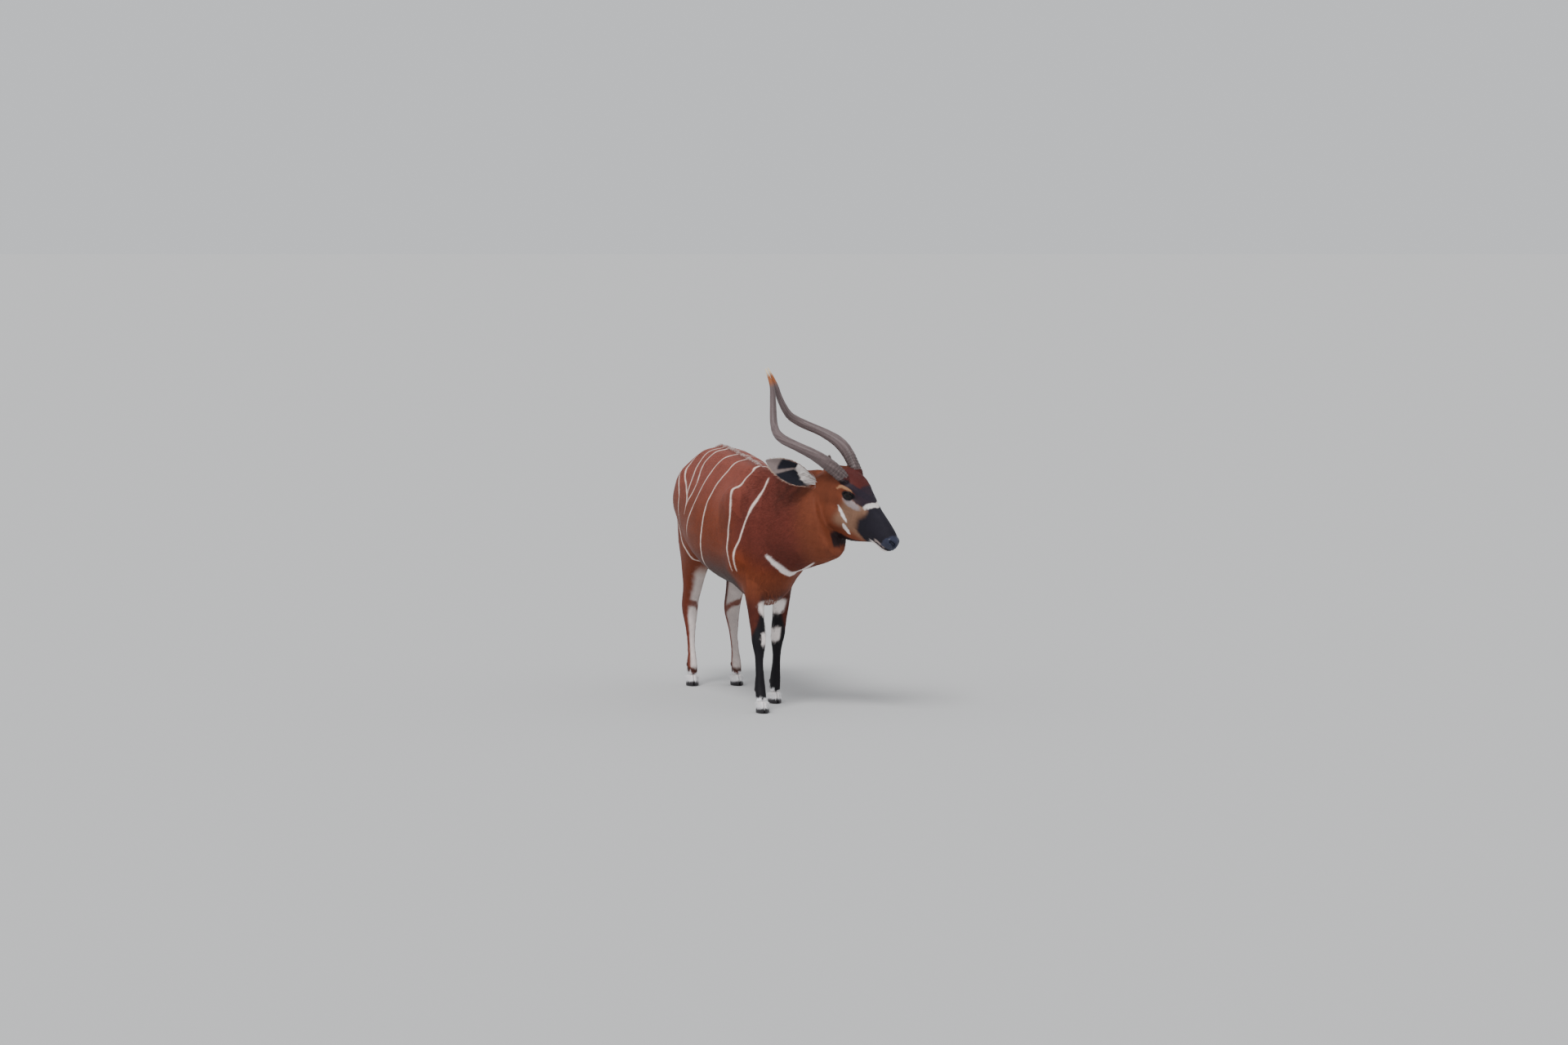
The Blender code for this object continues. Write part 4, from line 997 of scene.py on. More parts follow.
def hair_grain_group():
    """Fine streaks: a factor that varies the colour, and a height for a bump."""
    group, came, gone = new_group(
        "hair_grain",
        [("Scale", "NodeSocketFloat", 260.0), ("Strength", "NodeSocketFloat", 0.3)],
        [("Factor", "NodeSocketFloat"), ("Height", "NodeSocketFloat")],
    )
    place = node(group, "ShaderNodeTexCoord")
    squash = node(group, "ShaderNodeMapping")
    squash.inputs["Scale"].default_value = (0.28, 1.0, 0.55)
    fine = node(group, "ShaderNodeTexNoise", Detail=4.0, Roughness=0.65)
    broad = node(group, "ShaderNodeTexNoise", Scale=22.0, Detail=3.0)
    spread = node(group, "ShaderNodeMapRange")
    spread.inputs["From Min"].default_value = 0.3
    spread.inputs["From Max"].default_value = 0.7
    blend = node(group, "ShaderNodeMath", operation="MULTIPLY_ADD")
    blend.inputs[1].default_value = 0.35
    low = node(group, "ShaderNodeMath", operation="SUBTRACT")
    low.inputs[0].default_value = 1.0
    high = node(group, "ShaderNodeMath", operation="ADD")
    high.inputs[0].default_value = 1.0
    links = group.links
    links.new(place.outputs["Object"], squash.inputs["Vector"])
    links.new(squash.outputs["Vector"], fine.inputs["Vector"])
    links.new(place.outputs["Object"], broad.inputs["Vector"])
    links.new(came.outputs["Scale"], fine.inputs["Scale"])
    links.new(broad.outputs["Fac"], blend.inputs[0])
    links.new(fine.outputs["Fac"], blend.inputs[2])
    links.new(blend.outputs[0], spread.inputs["Value"])
    links.new(came.outputs["Strength"], low.inputs[1])
    links.new(came.outputs["Strength"], high.inputs[1])
    links.new(low.outputs[0], spread.inputs["To Min"])
    links.new(high.outputs[0], spread.inputs["To Max"])
    links.new(spread.outputs["Result"], gone.inputs["Factor"])
    links.new(fine.outputs["Fac"], gone.inputs["Height"])
    return group


def painted_material(name, grain, strength, scale, roughness, bump, sheen=0.0, shine=0.32, wet=False):
    """A finish whose colour is the piece's own, broken up by fine streaks."""
    made = bpy.data.materials.new(name)
    made.use_nodes = True
    tree = made.node_tree
    shader = tree.nodes["Principled BSDF"]
    shader.inputs["Roughness"].default_value = roughness
    shader.inputs["Sheen Weight"].default_value = sheen
    shader.inputs["Sheen Roughness"].default_value = 0.45
    shader.inputs["Specular IOR Level"].default_value = shine
    own = node(tree, "ShaderNodeAttribute", attribute_name="tint")
    streaks = node(tree, "ShaderNodeGroup", node_tree=grain)
    streaks.inputs["Scale"].default_value = scale
    streaks.inputs["Strength"].default_value = strength
    mix = node(tree, "ShaderNodeVectorMath", operation="SCALE")
    relief = node(tree, "ShaderNodeBump", Strength=bump, Distance=0.0015)
    tree.links.new(own.outputs["Color"], mix.inputs[0])
    tree.links.new(streaks.outputs["Factor"], mix.inputs["Scale"])
    tree.links.new(mix.outputs[0], shader.inputs["Base Color"])
    tree.links.new(streaks.outputs["Height"], relief.inputs["Height"])
    tree.links.new(relief.outputs["Normal"], shader.inputs["Normal"])
    if wet:
        damp = node(tree, "ShaderNodeAttribute", attribute_name="damp")
        gloss = node(tree, "ShaderNodeMapRange")
        gloss.inputs["To Min"].default_value = roughness
        gloss.inputs["To Max"].default_value = 0.28
        tree.links.new(damp.outputs["Fac"], gloss.inputs["Value"])
        tree.links.new(gloss.outputs["Result"], shader.inputs["Roughness"])
    return made


def tint(thing, colours):
    layer = thing.data.color_attributes.new("tint", "FLOAT_COLOR", "POINT")
    rgba = np.ones((len(colours), 4), np.float32)
    rgba[:, :3] = colours
    layer.data.foreach_set("color", rgba.ravel())


GRAIN = hair_grain_group()
SKIN_FINISH = painted_material("coat_short", GRAIN, 0.22, 300.0, 0.68, 0.45, sheen=0.03, shine=0.2, wet=True)
HAIR_FINISH = painted_material("coat_hair", GRAIN, 0.16, 420.0, 0.55, 0.10, sheen=0.03, shine=0.2)
HORN_FINISH = painted_material("horn", GRAIN, 0.16, 120.0, 0.46, 0.35)
HOOF_FINISH = painted_material("hoof", GRAIN, 0.20, 140.0, 0.42, 0.40)


# Hair


def sample_roots(thing, density, rng):
    """Random places on a surface, so many to the square metre as density says at each triangle."""
    mesh = thing.data
    mesh.calc_loop_triangles()
    corners = np.empty(len(mesh.loop_triangles) * 3, int)
    mesh.loop_triangles.foreach_get("vertices", corners)
    corners = corners.reshape(-1, 3)
    co, normals = points_of(thing), normals_of(thing)
    a, b, c = (co[corners[:, k]] for k in range(3))
    area = np.linalg.norm(np.cross(b - a, c - a), axis=1) / 2
    middle = (a + b + c) / 3
    weight = area * density(middle)
    count = int(weight.sum())
    steps = np.cumsum(weight)
    picks = np.searchsorted(steps, (np.arange(count) + rng.random(count)) * steps[-1] / count)
    picks = np.minimum(picks, len(steps) - 1)
    u, v = rng.random(count), rng.random(count)
    over = u + v > 1
    u[over], v[over] = 1 - u[over], 1 - v[over]
    w = 1 - u - v
    i, j, k = corners[picks].T
    share = (w[:, None], u[:, None], v[:, None])
    root = co[i] * share[0] + co[j] * share[1] + co[k] * share[2]
    normal = unit(normals[i] * share[0] + normals[j] * share[1] + normals[k] * share[2])
    return root, normal


# Locks of each lot, their thickness as a share of their width, and how far their shading turns to their sides
PIECE_LOCKS = 48000
EAR_HAIRS, EAR_RIM_HAIRS = 3600, 900
CREST_HAIRS = 3200
TAIL_HAIRS = 1100
LASH_HAIRS = 90
LOCK_THICKNESS = 0.24
LOCK_ROUNDING = 0.22
# Locks to the square metre
BODY_DENSITY, LIMB_DENSITY, HEAD_DENSITY = 62000.0, 95000.0, 150000.0
BELLY_DENSITY, JAW_DENSITY, HEEL_DENSITY = 15000, 26000, 60000
CROWN_DENSITY = 110000.0
HORN_ROOT_DENSITY = 300000.0
# A lock's rows: share along it, and share of its width
SPIKE = [(0.0, 1.0)]
BENT = [(0.0, 1.0), (0.5, 0.8)]
LONG = [(0.0, 0.9), (0.35, 1.0), (0.7, 0.7)]


def locks(name, root, normal, lie, length, width, lift, colours, rows=SPIKE, droop=0.0, sink=0.0003,
          tip_colours=None, standing=False):
    """One mesh of many tapered three-sided locks, each with its own patch of the OFBake map.

    Locks that lie on the skin are shaded as it is, and standing ones by their own faces."""
    n = len(root)
    length, width, lift = (np.broadcast_to(np.asarray(a, float), (n,)) for a in (length, width, lift))
    lie = along_surface(lie, normal)
    across = np.cross(normal, lie)
    thick = width * LOCK_THICKNESS
    rings = []
    for share, wide in rows:
        rise = lift * share - droop * length * share * share
        middle = root - normal * sink + lie * (length * share)[:, None] + normal * (length * rise)[:, None]
        half = across * (width * wide / 2)[:, None]
        rings += [middle + half, middle - half, middle + normal * (thick * wide)[:, None]]
    rise = lift - droop * length
    rings.append(root + lie * length[:, None] + normal * (length * rise)[:, None])
    co = np.clip(np.stack(rings, axis=1), LOW_CORNER, HIGH_CORNER)
    per = co.shape[1]
    count = len(rows)
    faces = [(0, 1, 2)]
    for k in range(count - 1):
        a, b = 3 * k, 3 * k + 3
        for i in range(3):
            j = (i + 1) % 3
            faces += [(a + i, b + i, b + j), (a + i, b + j, a + j)]
    a, tip = 3 * (count - 1), per - 1
    faces += [(a + i, tip, a + (i + 1) % 3) for i in range(3)]
    faces = np.array(faces)
    corners = (faces[None] + (np.arange(n) * per)[:, None, None]).reshape(-1, 3)
    mesh = bpy.data.meshes.new(name)
    mesh.vertices.add(n * per)
    mesh.vertices.foreach_set("co", co.reshape(-1))
    mesh.loops.add(len(corners) * 3)
    mesh.loops.foreach_set("vertex_index", corners.reshape(-1).astype(np.int32))
    mesh.polygons.add(len(corners))
    mesh.polygons.foreach_set("loop_start", np.arange(len(corners), dtype=np.int32) * 3)
    mesh.update(calc_edges=True)
    if not standing:
        facing = [normal + LOCK_ROUNDING * across, normal - LOCK_ROUNDING * across, normal] * count + [normal]
        mesh.normals_split_custom_set_from_vertices(unit(np.stack(facing, axis=1)).reshape(-1, 3))
    thing = linked(mesh, name)
    shares = np.concatenate([np.repeat([share for share, _ in rows], 3), [1.0]])
    ends = colours if tip_colours is None else tip_colours
    tints = colours[:, None] * (1 - shares[None, :, None]) + ends[:, None] * shares[None, :, None]
    tint(thing, tints.reshape(-1, 3))
    patch(thing, root, normal, shares, corners)
    thing.data.materials.append(HAIR_FINISH)
    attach(thing, "root")
    return thing


PATCH = 0.003


def patch(thing, root, normal, shares, corners):
    """Gives each lock a small patch where its root falls on the six unfolded sides of the body."""
    low, high = root.min(axis=0), root.max(axis=0)
    size = max(high - low) + 1e-6
    at = (root - low) / size
    facing = np.argmax(np.abs(normal), axis=1)
    front = normal[np.arange(len(root)), facing] > 0
    u = np.where(facing == 0, at[:, 1], at[:, 0])
    v = np.where(facing == 2, at[:, 1], at[:, 2])
    u = (facing + 0.02 + u * 0.95) / 3
    v = (front + 0.02 + v * 0.95) / 2
    side = np.tile([-0.5, 0.5, 0.0], (len(shares) - 1) // 3)
    side = np.concatenate([side, [0.0]])
    uv = np.stack([u[:, None] + side[None] * PATCH, v[:, None] + (shares[None] - 0.5) * PATCH], axis=2)
    layer = thing.data.uv_layers.new(name="OFBake")
    layer.data.foreach_set("uv", uv.reshape(-1, 2)[corners.reshape(-1)].astype(np.float32).ravel())


def lie_of_coat(co, normals):
    """Which way the hair lies: back along the body, down the limbs, up from the nose."""
    n = len(co)
    way = repeated(np.array((-1.0, 0.0, -0.35)), n)
    neck = ramp(beyond(co, NECK_BASE), -0.05, 0.10)
    way = way + (np.array((-0.75, -0.45, -0.65)) - way) * neck[:, None]
    head = ramp(beyond(co, NECK_HEAD), -0.03, 0.02)
    back = np.array(HEAD.to_3x3() @ Vector((-1.0, 0.0, -0.12)))
    way = way + (back - way) * head[:, None]
    for on in limb_shares(co).values():
        way = way + (np.array((-0.15, 0.0, -1.0)) - way) * on[:, None]
    way = way + 0.16 * np.stack([wobble(co, 0.20, k) for k in (11, 12, 13)], axis=1)
    return along_surface(way, normals)


# Assembly


EAR_TREES = {}  # each ear's surface, for finding places on it


def surface_tree(thing):
    return bvhtree.BVHTree.FromObject(thing, bpy.context.evaluated_depsgraph_get())


def build_skin():
    """The skin of the body and the ears as one piece."""
    body = skin()
    ears = {side: ear_skin(side) for side in SIDES}
    for thing in (body, *ears.values()):
        co, normals = points_of(thing), normals_of(thing)
        on_ear = None
        if thing is not body:
            side = thing.name.rsplit("_", 1)[1]
            share = ear_places(co, side)[0]
            on_ear = {key: ramp(share, 0.10, 0.22) * (key == side) for key in SIDES}
        tint(thing, coat_colours(co, normals, on_ear))
        damp = thing.data.attributes.new("damp", "FLOAT", "POINT")
        q = head_places(co)
        damp.data.foreach_set("value", (nose_pad(q) * (q[:, 0] > 0.38)).astype(np.float32))
        thing.data.materials.clear()
        thing.data.materials.append(SKIN_FINISH)
        smoothed(thing)
    for side, ear in ears.items():
        EAR_TREES[side] = surface_tree(ear)
    made = joined("skin", [body, *ears.values()])
    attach(made, "root")
    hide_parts("torso", "neck", "head", "tail", "ear_left", "ear_right", *LIMB_NODES)
    return made


def ear_shares(co):
    return {side: ramp(ear_places(co, side)[0], 0.08, 0.18) * near_ear(co, side) for side in SIDES}


def blended(base, *steps):
    """A value that goes over to each given one by its share."""
    for value, share in steps:
        base = base + (value - base) * share
    return base


def short_hair(body):
    rng = np.random.default_rng(21)

    def density(co):
        q = head_places(co)
        head = ramp(beyond(co, NECK_HEAD), -0.02, 0.02)
        d = blended(np.full(len(co), BODY_DENSITY), (LIMB_DENSITY, on_limbs(co)), (HEAD_DENSITY, head))
        d *= 1 - head * np.maximum(nose_pad(q), ramp(q[:, 0], 0.43, 0.45))
        d *= np.where(eye_rho(q) * np.where(head > 0, 1, 9) < 1.12, 0.0, 1.0)
        return d

    root, normal = sample_roots(body, density, rng)
    keep = design(root)[:, 2] > 0.052
    root, normal = root[keep], normal[keep]
    n = len(root)
    head = ramp(beyond(root, NECK_HEAD), -0.03, 0.03)
    muzzle = head * ramp(head_places(root)[:, 0], 0.12, 0.34)
    limb = on_limbs(root)
    neck = ramp(beyond(root, NECK_BASE), 0.0, 0.12) * (1 - head)
    on_ear = ear_shares(root)
    ears = np.maximum(on_ear["left"], on_ear["right"])
    length = blended(0.0120, (0.0150, neck), (0.0070, limb), (0.0080, head), (0.0042, muzzle), (0.0090, ears))
    marked = np.maximum(stripes_at(root, 0.006), chest_crescent(root))
    length = length * rng.uniform(0.7, 1.2, n) * (1 - 0.45 * marked)
    width = blended(0.0022, (0.0019, limb), (0.0015, head), (0.0010, muzzle), (0.0017, ears))
    lie = lie_of_coat(root, normal) + 0.09 * rng.normal(size=(n, 3))
    for side in on_ear:
        lie = lie + (ear_axes(side)[0] - lie) * on_ear[side][:, None]
    lie = along_surface(lie, normal)
    tips = root + lie * length[:, None]
    vary = rng.uniform(0.88, 1.12, n)[:, None]
    colours = coat_colours(root, normal, on_ear) * vary
    ends = coat_colours(tips, normal, on_ear) * vary
    lift = np.minimum(coat_depth(root) * 0.8 / length, 0.13) * (1 - 0.4 * ears)
    order = np.argsort(root[:, 0], kind="stable")
    for piece, start in enumerate(range(0, n, PIECE_LOCKS)):
        part = order[start:start + PIECE_LOCKS]
        locks(f"coat_{piece + 1}", root[part], normal[part], lie[part], length[part], width[part],
              lift[part], colours[part], tip_colours=np.clip(ends[part] * 1.06, 0, 1))


def near_ear(co, side):
    """1 where a place is on an ear's own skin."""
    share, across, out = ear_places(co, side)
    near = (share > 0.05) & (share < 1.1) & (np.abs(across) < 0.075) & (np.abs(out) < 0.075)
    for i in np.flatnonzero(near):
        near[i] = EAR_TREES[side].find_nearest(Vector(co[i]))[3] < 0.0005
    return near


def fringe(body):
    """Longer hair under the belly, the brisket and the jaw, and behind the fetlocks."""
    rng = np.random.default_rng(51)

    def zones(co):
        p, q = design(co), head_places(co)
        belly = (1 - ramp(np.abs(p[:, 1]), 0.03, 0.06)) * between(p[:, 0], -0.26, 0.64, 0.05)
        belly *= 1 - ramp(p[:, 2], 0.64, 0.68)
        jaw = ramp(beyond(co, NECK_HEAD), 0.0, 0.02) * (1 - ramp(np.abs(q[:, 1]), 0.012, 0.030))
        jaw *= (1 - ramp(q[:, 2], -0.20, -0.17)) * between(q[:, 0], -0.02, 0.26, 0.03)
        heel = np.zeros(len(co))
        for ahead, out in limb_places(co).values():
            behind = np.abs(np.degrees(np.arctan2(out, ahead))) > 115
            heel = np.maximum(heel, behind * (np.hypot(ahead, out) < 0.07) * between(p[:, 2], 0.085, 0.135, 0.006))
        return belly, jaw, heel

    def density(co):
        belly, jaw, heel = zones(co)
        return BELLY_DENSITY * belly + JAW_DENSITY * jaw + HEEL_DENSITY * heel

    root, normal = sample_roots(body, density, rng)
    belly, jaw, heel = zones(root)
    n = len(root)
    length = blended(0.024, (0.016, jaw), (0.030, heel)) * rng.uniform(0.7, 1.1, n)
    lift = blended(0.34, (0.30, jaw), (0.24, heel))
    lie = lie_of_coat(root, normal) + 0.15 * rng.normal(size=(n, 3))
    c = laid(coat_colours(root, normal), body_colours(root), belly) * rng.uniform(0.85, 1.15, n)[:, None]
    locks("fringe", root, normal, lie, length, 0.0024, lift, c, rows=BENT, tip_colours=np.clip(c * 1.1, 0, 1))


def ear_hair():
    """Long white hair from the root of each ear across its cup, and a fringe along its rims."""
    rng = np.random.default_rng(61)
    for side in SIDES:
        direction, across, out = ear_axes(side)
        up = across if side == "right" else -across
        base = np.array(ear_root(side))

        def on_cup(share, rise):
            """Places and normals on the ear's inside, found from in front of it."""
            found = []
            for s, r in zip(share, rise):
                at = Vector(base + direction * s * EAR_LENGTH + up * r + out * 0.10)
                hit = EAR_TREES[side].ray_cast(at, Vector(-out), 0.25)
                found.append((*hit[0], *hit[1]) if hit[0] else (np.nan,) * 6)
            found = np.array(found)
            return found[:, :3], found[:, 3:]

        n = EAR_HAIRS
        along = rng.random(n)
        table, ends = np.array(EAR_ROOTS), np.array(EAR_TIPS)
        steps = np.linspace(0, 1, len(table))
        share = np.interp(along, steps, table[:, 0]) + rng.normal(0, 0.012, n)
        rise = np.interp(along, steps, table[:, 1]) - 0.020 * rng.random(n) ** 1.4
        to_share = np.interp(along, steps, ends[:, 0]) + rng.normal(0, 0.02, n)
        to_rise = np.interp(along, steps, ends[:, 1]) - 0.004 + rng.normal(0, 0.004, n)
        root, normal = on_cup(share, rise)
        step = direction * ((to_share - share) * EAR_LENGTH)[:, None] + up * (to_rise - rise)[:, None]
        length = np.linalg.norm(step, axis=1) * rng.uniform(0.75, 1.05, n)
        ok = ~np.isnan(root[:, 0])
        c = repeated(WHITE_HAIR, n) * rng.uniform(0.82, 1.05, n)[:, None]
        locks(f"ear_hair_{side}", root[ok], normal[ok], step[ok], length[ok], 0.0014, 0.16, c[ok], rows=LONG,
              droop=0.25, tip_colours=np.clip(c * 1.05, 0, 1)[ok])
        rims = EAR_RIM_HAIRS
        share = 0.10 + 0.86 * rng.random(rims)
        widths = np.array(EAR_HALF)
        half = np.interp(share, widths[:, 0], widths[:, 1])
        lower = rng.random(rims) < 0.6
        rise = half * np.where(lower, -1, 1) * rng.uniform(0.86, 0.95, rims)
        root, normal = on_cup(share, rise)
        lie = direction + up * (np.where(lower, -0.55, 0.35) + rng.normal(0, 0.15, rims))[:, None]
        ok = ~np.isnan(root[:, 0])
        pale = laid(repeated(DEEP_CHESTNUT, rims), CREAM, 0.75 * (rng.random(rims) < 0.55) + ramp(share, 0.7, 0.8))
        locks(f"ear_rim_{side}", root[ok], normal[ok], lie[ok], (0.013 * rng.uniform(0.6, 1.1, rims))[ok], 0.0016,
              0.12, pale[ok], rows=BENT)


def crown_hair():
    """White hair that falls over the upper half of each hoof."""
    rng = np.random.default_rng(71)
    parts = []
    for name in sorted(NODES):
        if name.startswith("claw"):
            source = bpy.data.objects[f"{name}_finish"]
            root, normal = sample_roots(source, lambda co: CROWN_DENSITY * between(co[:, 2], 0.030, 0.066, 0.003), rng)
            parts.append((root, normal))
    root, normal = (np.concatenate([part[k] for part in parts]) for k in (0, 1))
    n = len(root)
    lie = repeated(np.array((0.0, 0.0, -1.0)), n) + 0.14 * rng.normal(size=(n, 3))
    c = repeated(BRIGHT_WHITE, n) * rng.uniform(0.9, 1.0, n)[:, None]
    length = np.minimum(0.014 * rng.uniform(0.7, 1.2, n), root[:, 2] - 0.014)
    locks("crown_hair", root, normal, lie, length, 0.0020, 0.14, c)


def horn_root_hair():
    """Short hair of the forehead that grows up over the root of each horn."""
    rng = np.random.default_rng(91)
    for side in SIDES:
        line = horn_line(side)
        axis = unit(line[5] - line[0])
        source = bpy.data.objects[f"horn_{side}_finish"]
        lowest = np.min(points_of(source) @ axis)

        def density(co):
            return HORN_ROOT_DENSITY * (1 - ramp(co @ axis - lowest + 0.005 * wobble(co, 0.03, 19), 0.040, 0.050))

        root, normal = sample_roots(source, density, rng)
        n = len(root)
        lie = axis + 0.16 * rng.normal(size=(n, 3))
        c = coat_colours(root, normal) * rng.uniform(0.85, 1.1, n)[:, None]
        locks(f"horn_root_{side}", root, normal, lie, 0.013 * rng.uniform(0.7, 1.2, n), 0.0017, 0.10, c, rows=BENT)


def lashes():
    """A row of lashes on each upper lid."""
    rng = np.random.default_rng(81)
    n = LASH_HAIRS
    ahead, up, out_of_eye = eye_turn()
    angle = np.radians(np.linspace(18, 165, n)) + rng.normal(0, 0.02, n)
    u = EYE_OPENING[0] * 1.03 * np.cos(angle)
    v = EYE_OPENING[1] * 1.03 * np.sin(angle)
    rim = EYE_RADIUS + 0.0020
    out = np.sqrt(np.maximum(rim**2 - u**2 - v**2, 0))
    at = np.array(EYE_AT) + u[:, None] * ahead + v[:, None] * up + out[:, None] * out_of_eye
    way = out_of_eye * 0.8 + up * 0.35 + (u[:, None] * 14) * ahead + 0.12 * rng.normal(size=(n, 3))
    turn = np.array(HEAD.to_3x3())
    for side, sign in SIDES.items():
        flip = np.array((1, sign, 1))
        root, lie = moved_by(HEAD, at * flip), (way * flip) @ turn.T
        normal = repeated((up * flip) @ turn.T, n)
        c = repeated(SOOT, n)
        locks(f"lashes_{side}", root, normal, lie, 0.010 * rng.uniform(0.8, 1.1, n), 0.0009, 0.0, c, rows=BENT,
              droop=0.35, sink=0.0002)


def horn_line(side):
    place = Matrix.Translation(HEAD @ Vector(HORN_AT)) @ Matrix.Rotation(math.radians(HEAD_YAW), 4, "Z")
    lean = Matrix.Rotation(math.radians(HEAD_ROLL), 4, "X")
    tilt = Matrix.Rotation(math.radians(HORN_TILT), 4, "X")
    points = [
        place @ (lean @ Vector((back, 0, up)) + tilt @ Vector((0, SIDES[side] * half, 0)))
        for back, up, half in HORN_LINE
    ]
    return curve_through(points, 8)


HORN_GREY = tone(98, 84, 84)
HORN_ROOT = tone(70, 58, 56)
HORN_GROOVE = tone(60, 50, 50)
HORN_RIDGE = tone(128, 112, 112)
HORN_AMBER = tone(150, 88, 52)
HORN_IVORY = tone(226, 206, 176)
EYE_BLACK, IRIS, PUPIL = tone(16, 11, 10), tone(26, 16, 12), tone(8, 8, 10)
HOOF_BLACK = tone(36, 33, 36)


def finished_horn(made, side):
    """Rings near the base, long furrows, and the tip's ivory."""
    co, normals = points_of(made), normals_of(made)
    line = horn_line(side)
    gap, share = off_line(co, line)
    at = np.clip(share, 0, 1) * (len(line) - 1)
    k = np.minimum(at.astype(int), len(line) - 2)
    middle = line[k] + (line[k + 1] - line[k]) * (at - k)[:, None]
    spoke = unit(co - middle)
    rings = np.sin(share * 400 + 1.2 * wobble(co, 0.06, 17)) * (1 - ramp(share, 0.13, 0.24))
    rings = np.where(rings > 0, np.sqrt(np.abs(rings)), rings)
    furrow = wobble(spoke * 0.05 + share[:, None] * np.array((0.0, 0.0, 0.10)), 0.022, 18)
    fade = 1 - ramp(share, 0.80, 0.95)
    set_points(made, co + normals * ((0.0010 * rings + 0.0004 * furrow) * fade)[:, None])
    c = repeated(HORN_GREY, len(co))
    c = laid(c, HORN_ROOT, 0.7 * (1 - ramp(share, 0.10, 0.30)))
    c = laid(c, HORN_GROOVE, 0.65 * np.clip(-rings, 0, 1) + 0.30 * np.clip(-furrow, 0, 1) * fade)
    c = laid(c, HORN_RIDGE, 0.35 * np.clip(furrow, 0, 1) * fade)
    c = laid(c, HORN_AMBER, ramp(share, 0.885, 0.93))
    c = laid(c, HORN_IVORY, ramp(share, 0.945, 0.985))
    tint(made, c)


def finished_eye(made, name):
    low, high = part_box(name)
    centre = np.array((low + high) / 2)
    co = points_of(made)
    set_points(made, centre + unit(co - centre) * EYE_RADIUS)
    u, v, out = eye_axes(head_places(points_of(made))).T
    c = repeated(EYE_BLACK, len(co))
    c = laid(c, IRIS, (1 - ramp(np.hypot(u, v), 0.0140, 0.0158)) * (out > 0))
    c = laid(c, PUPIL, (1 - ramp(np.hypot(u / 0.0100, v / 0.0062), 0.85, 1.1)) * (out > 0))
    tint(made, c)


def carried_nodes():
    """Horns, hooves and eyes keep their own shapes, finished finer."""
    for name in sorted(NODES):
        kind = name.split("_")[0]
        if kind not in FINISHES:
            continue
        made = merged_copy(f"{name}_finish", [name])
        finish, slot, levels = FINISHES[kind]
        applied(made, "SUBSURF", levels=levels, render_levels=levels)
        made.data.materials.clear()
        if kind == "horn":
            finished_horn(made, name.rsplit("_", 1)[1])
        elif kind == "eye":
            finished_eye(made, name)
        else:
            co = points_of(made)
            c = repeated(HOOF_BLACK, len(co))
            if kind == "claw":
                c = laid(c, WHITE_HAIR, ramp(co[:, 2], 0.026, 0.034))
            tint(made, c)
        made.data.materials.append(finish)
        smoothed(made)
        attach(made, "root")
        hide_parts(name)


def eye_material():
    made = bpy.data.materials.new("eye")
    made.use_nodes = True
    shader = made.node_tree.nodes["Principled BSDF"]
    own = node(made.node_tree, "ShaderNodeAttribute", attribute_name="tint")
    made.node_tree.links.new(own.outputs["Color"], shader.inputs["Base Color"])
    shader.inputs["Roughness"].default_value = 0.06
    shader.inputs["Specular IOR Level"].default_value = 0.26
    return made


# Material, slot and levels of subdivision
FINISHES = {
    "horn": (HORN_FINISH, "horn", 3),
    "claw": (HOOF_FINISH, "hoof", 2),
    "dewclaw": (HOOF_FINISH, "hoof", 2),
    "eye": (eye_material(), "eye", 3),
}


def height_under(tree, x, y):
    """The surface's height below a place over the back."""
    found = tree.ray_cast(Vector((x, y, 2.0)), Vector((0, 0, -1)))
    return found[0].z if found[0] else 1.2


def crest_hair(body):
    """Stiff hair along the spine, in tufts that go from brown to white."""
    rng = np.random.default_rng(31)
    n = CREST_HAIRS
    share = rng.random(n)
    x = 0.40 + (-0.66 - 0.40) * share
    y = rng.normal(0, 0.0042, n)
    tree = surface_tree(body)
    top = np.array([height_under(tree, float(a) + SHIFT.x, float(b) + SHIFT.y) for a, b in zip(x, y)])
    root = np.stack([x + SHIFT.x, y + SHIFT.y, top], axis=1)
    normal = repeated(np.array((0.62, 0.0, 0.78)), n)
    lie = np.stack([np.full(n, -0.62), rng.normal(0, 0.12, n), np.full(n, 0.78)], axis=1)
    ends = np.minimum(1.0, np.minimum(0.45 + 6 * share, 0.45 + 6 * (1 - share)))
    tuft = wobble(root * np.array((1.0, 0.2, 0.2)), 0.045, 14)
    length = 0.018 * ends * rng.uniform(0.7, 1.1, n) * (1 + 0.25 * tuft)
    white = 0.20 + 0.60 * ramp(tuft, -0.4, 0.5)
    base = laid(repeated(BACK_BROWN, n), CREAM, white * 0.4)
    tips = laid(repeated(BACK_BROWN, n), WHITE_HAIR * 0.9, white * rng.uniform(0.6, 1.0, n))
    locks("crest", root, normal, lie, length, 0.0026, 0.05, base, rows=LONG, sink=0.003, tip_colours=tips,
          standing=True)


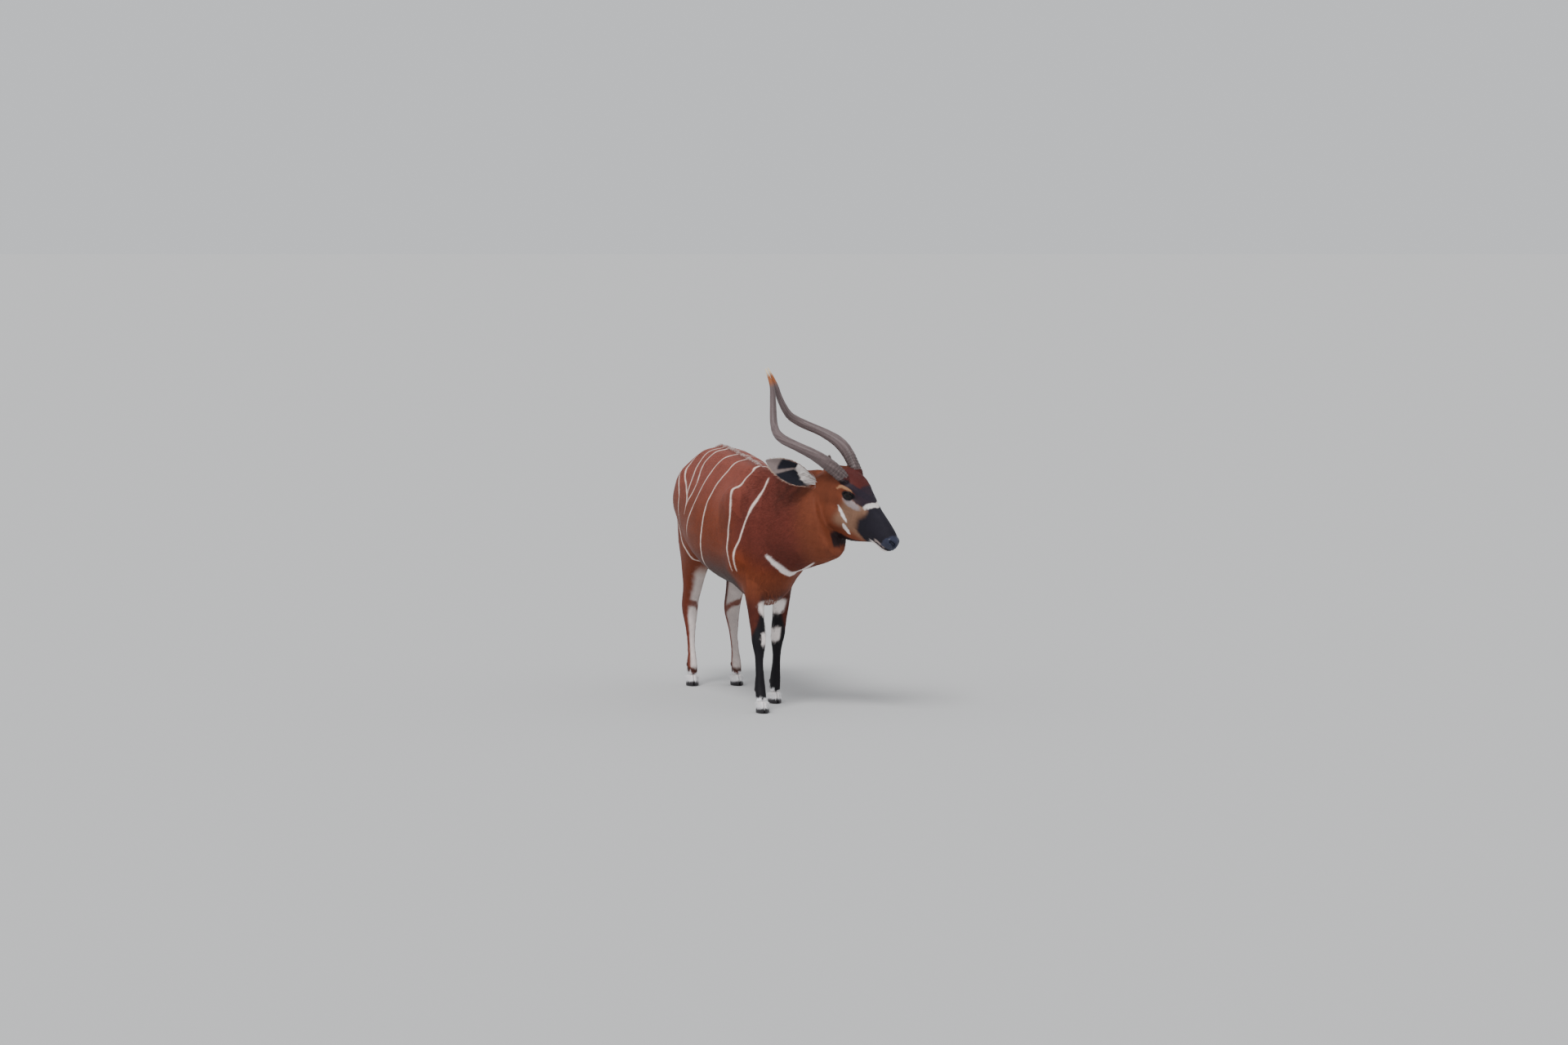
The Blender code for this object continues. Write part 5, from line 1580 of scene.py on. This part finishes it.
def tail_hair():
    rng = np.random.default_rng(41)
    path = tail_path()
    n = TAIL_HAIRS
    share = 0.62 + 0.36 * rng.random(n) ** 0.8
    at = share * (len(path) - 1)
    k = np.minimum(at.astype(int), len(path) - 2)
    t = (at - k)[:, None]
    middle = path[k] * (1 - t) + path[k + 1] * t
    along = unit(path[k + 1] - path[k])
    around = rng.uniform(0, math.tau, n)
    normal = unit(np.stack([np.cos(around), np.sin(around), np.zeros(n)], axis=1))
    root = middle + normal * 0.006
    length = (0.13 - 0.07 * (share - 0.62) / 0.36) * rng.uniform(0.7, 1.05, n)
    low = CAD_BOX[0][2] + 0.50
    length = np.minimum(length, np.maximum(root[:, 2] - low, 0.02))
    c = repeated(SOOT, n) * rng.uniform(0.7, 1.4, n)[:, None]
    locks("tail_tuft", root, normal, along, length, 0.0038, 0.14, c, rows=LONG, droop=0.6, tip_colours=c * 1.3)


SKIN = build_skin()
short_hair(SKIN)
fringe(SKIN)
ear_hair()
crest_hair(SKIN)
tail_hair()
carried_nodes()
crown_hair()
horn_root_hair()
lashes()


# Floor and light


FLOOR_SIDE = 4000
FLOOR_GREY = (0.60, 0.60, 0.60, 1)
SUN_STRENGTH = 2.1
SUN_WIDTH = math.radians(24)
SUN_TOWARDS = Vector((0.62, -0.42, 1.0))
SKY_COLOUR = (0.95, 0.97, 1.0, 1)
SKY_STRENGTH = 0.75


def stage():
    bpy.ops.mesh.primitive_plane_add(size=FLOOR_SIDE, location=(0, 0, 0))
    floor = bpy.context.active_object
    floor.name = "floor"
    paint = bpy.data.materials.new("floor")
    paint.use_nodes = True
    shader = paint.node_tree.nodes["Principled BSDF"]
    shader.inputs["Base Color"].default_value = FLOOR_GREY
    shader.inputs["Roughness"].default_value = 0.9
    shader.inputs["Specular IOR Level"].default_value = 0.0
    floor.data.materials.append(paint)
    data = bpy.data.lights.new("soft_key", "SUN")
    data.energy = SUN_STRENGTH
    data.angle = SUN_WIDTH
    lamp = bpy.data.objects.new("soft_key", data)
    bpy.context.scene.collection.objects.link(lamp)
    lamp.rotation_euler = (-SUN_TOWARDS).to_track_quat("-Z", "Y").to_euler()
    world = bpy.data.worlds.new("studio")
    bpy.context.scene.world = world
    world.use_nodes = True
    sky = world.node_tree.nodes["Background"]
    sky.inputs["Color"].default_value = SKY_COLOUR
    sky.inputs["Strength"].default_value = SKY_STRENGTH


stage()
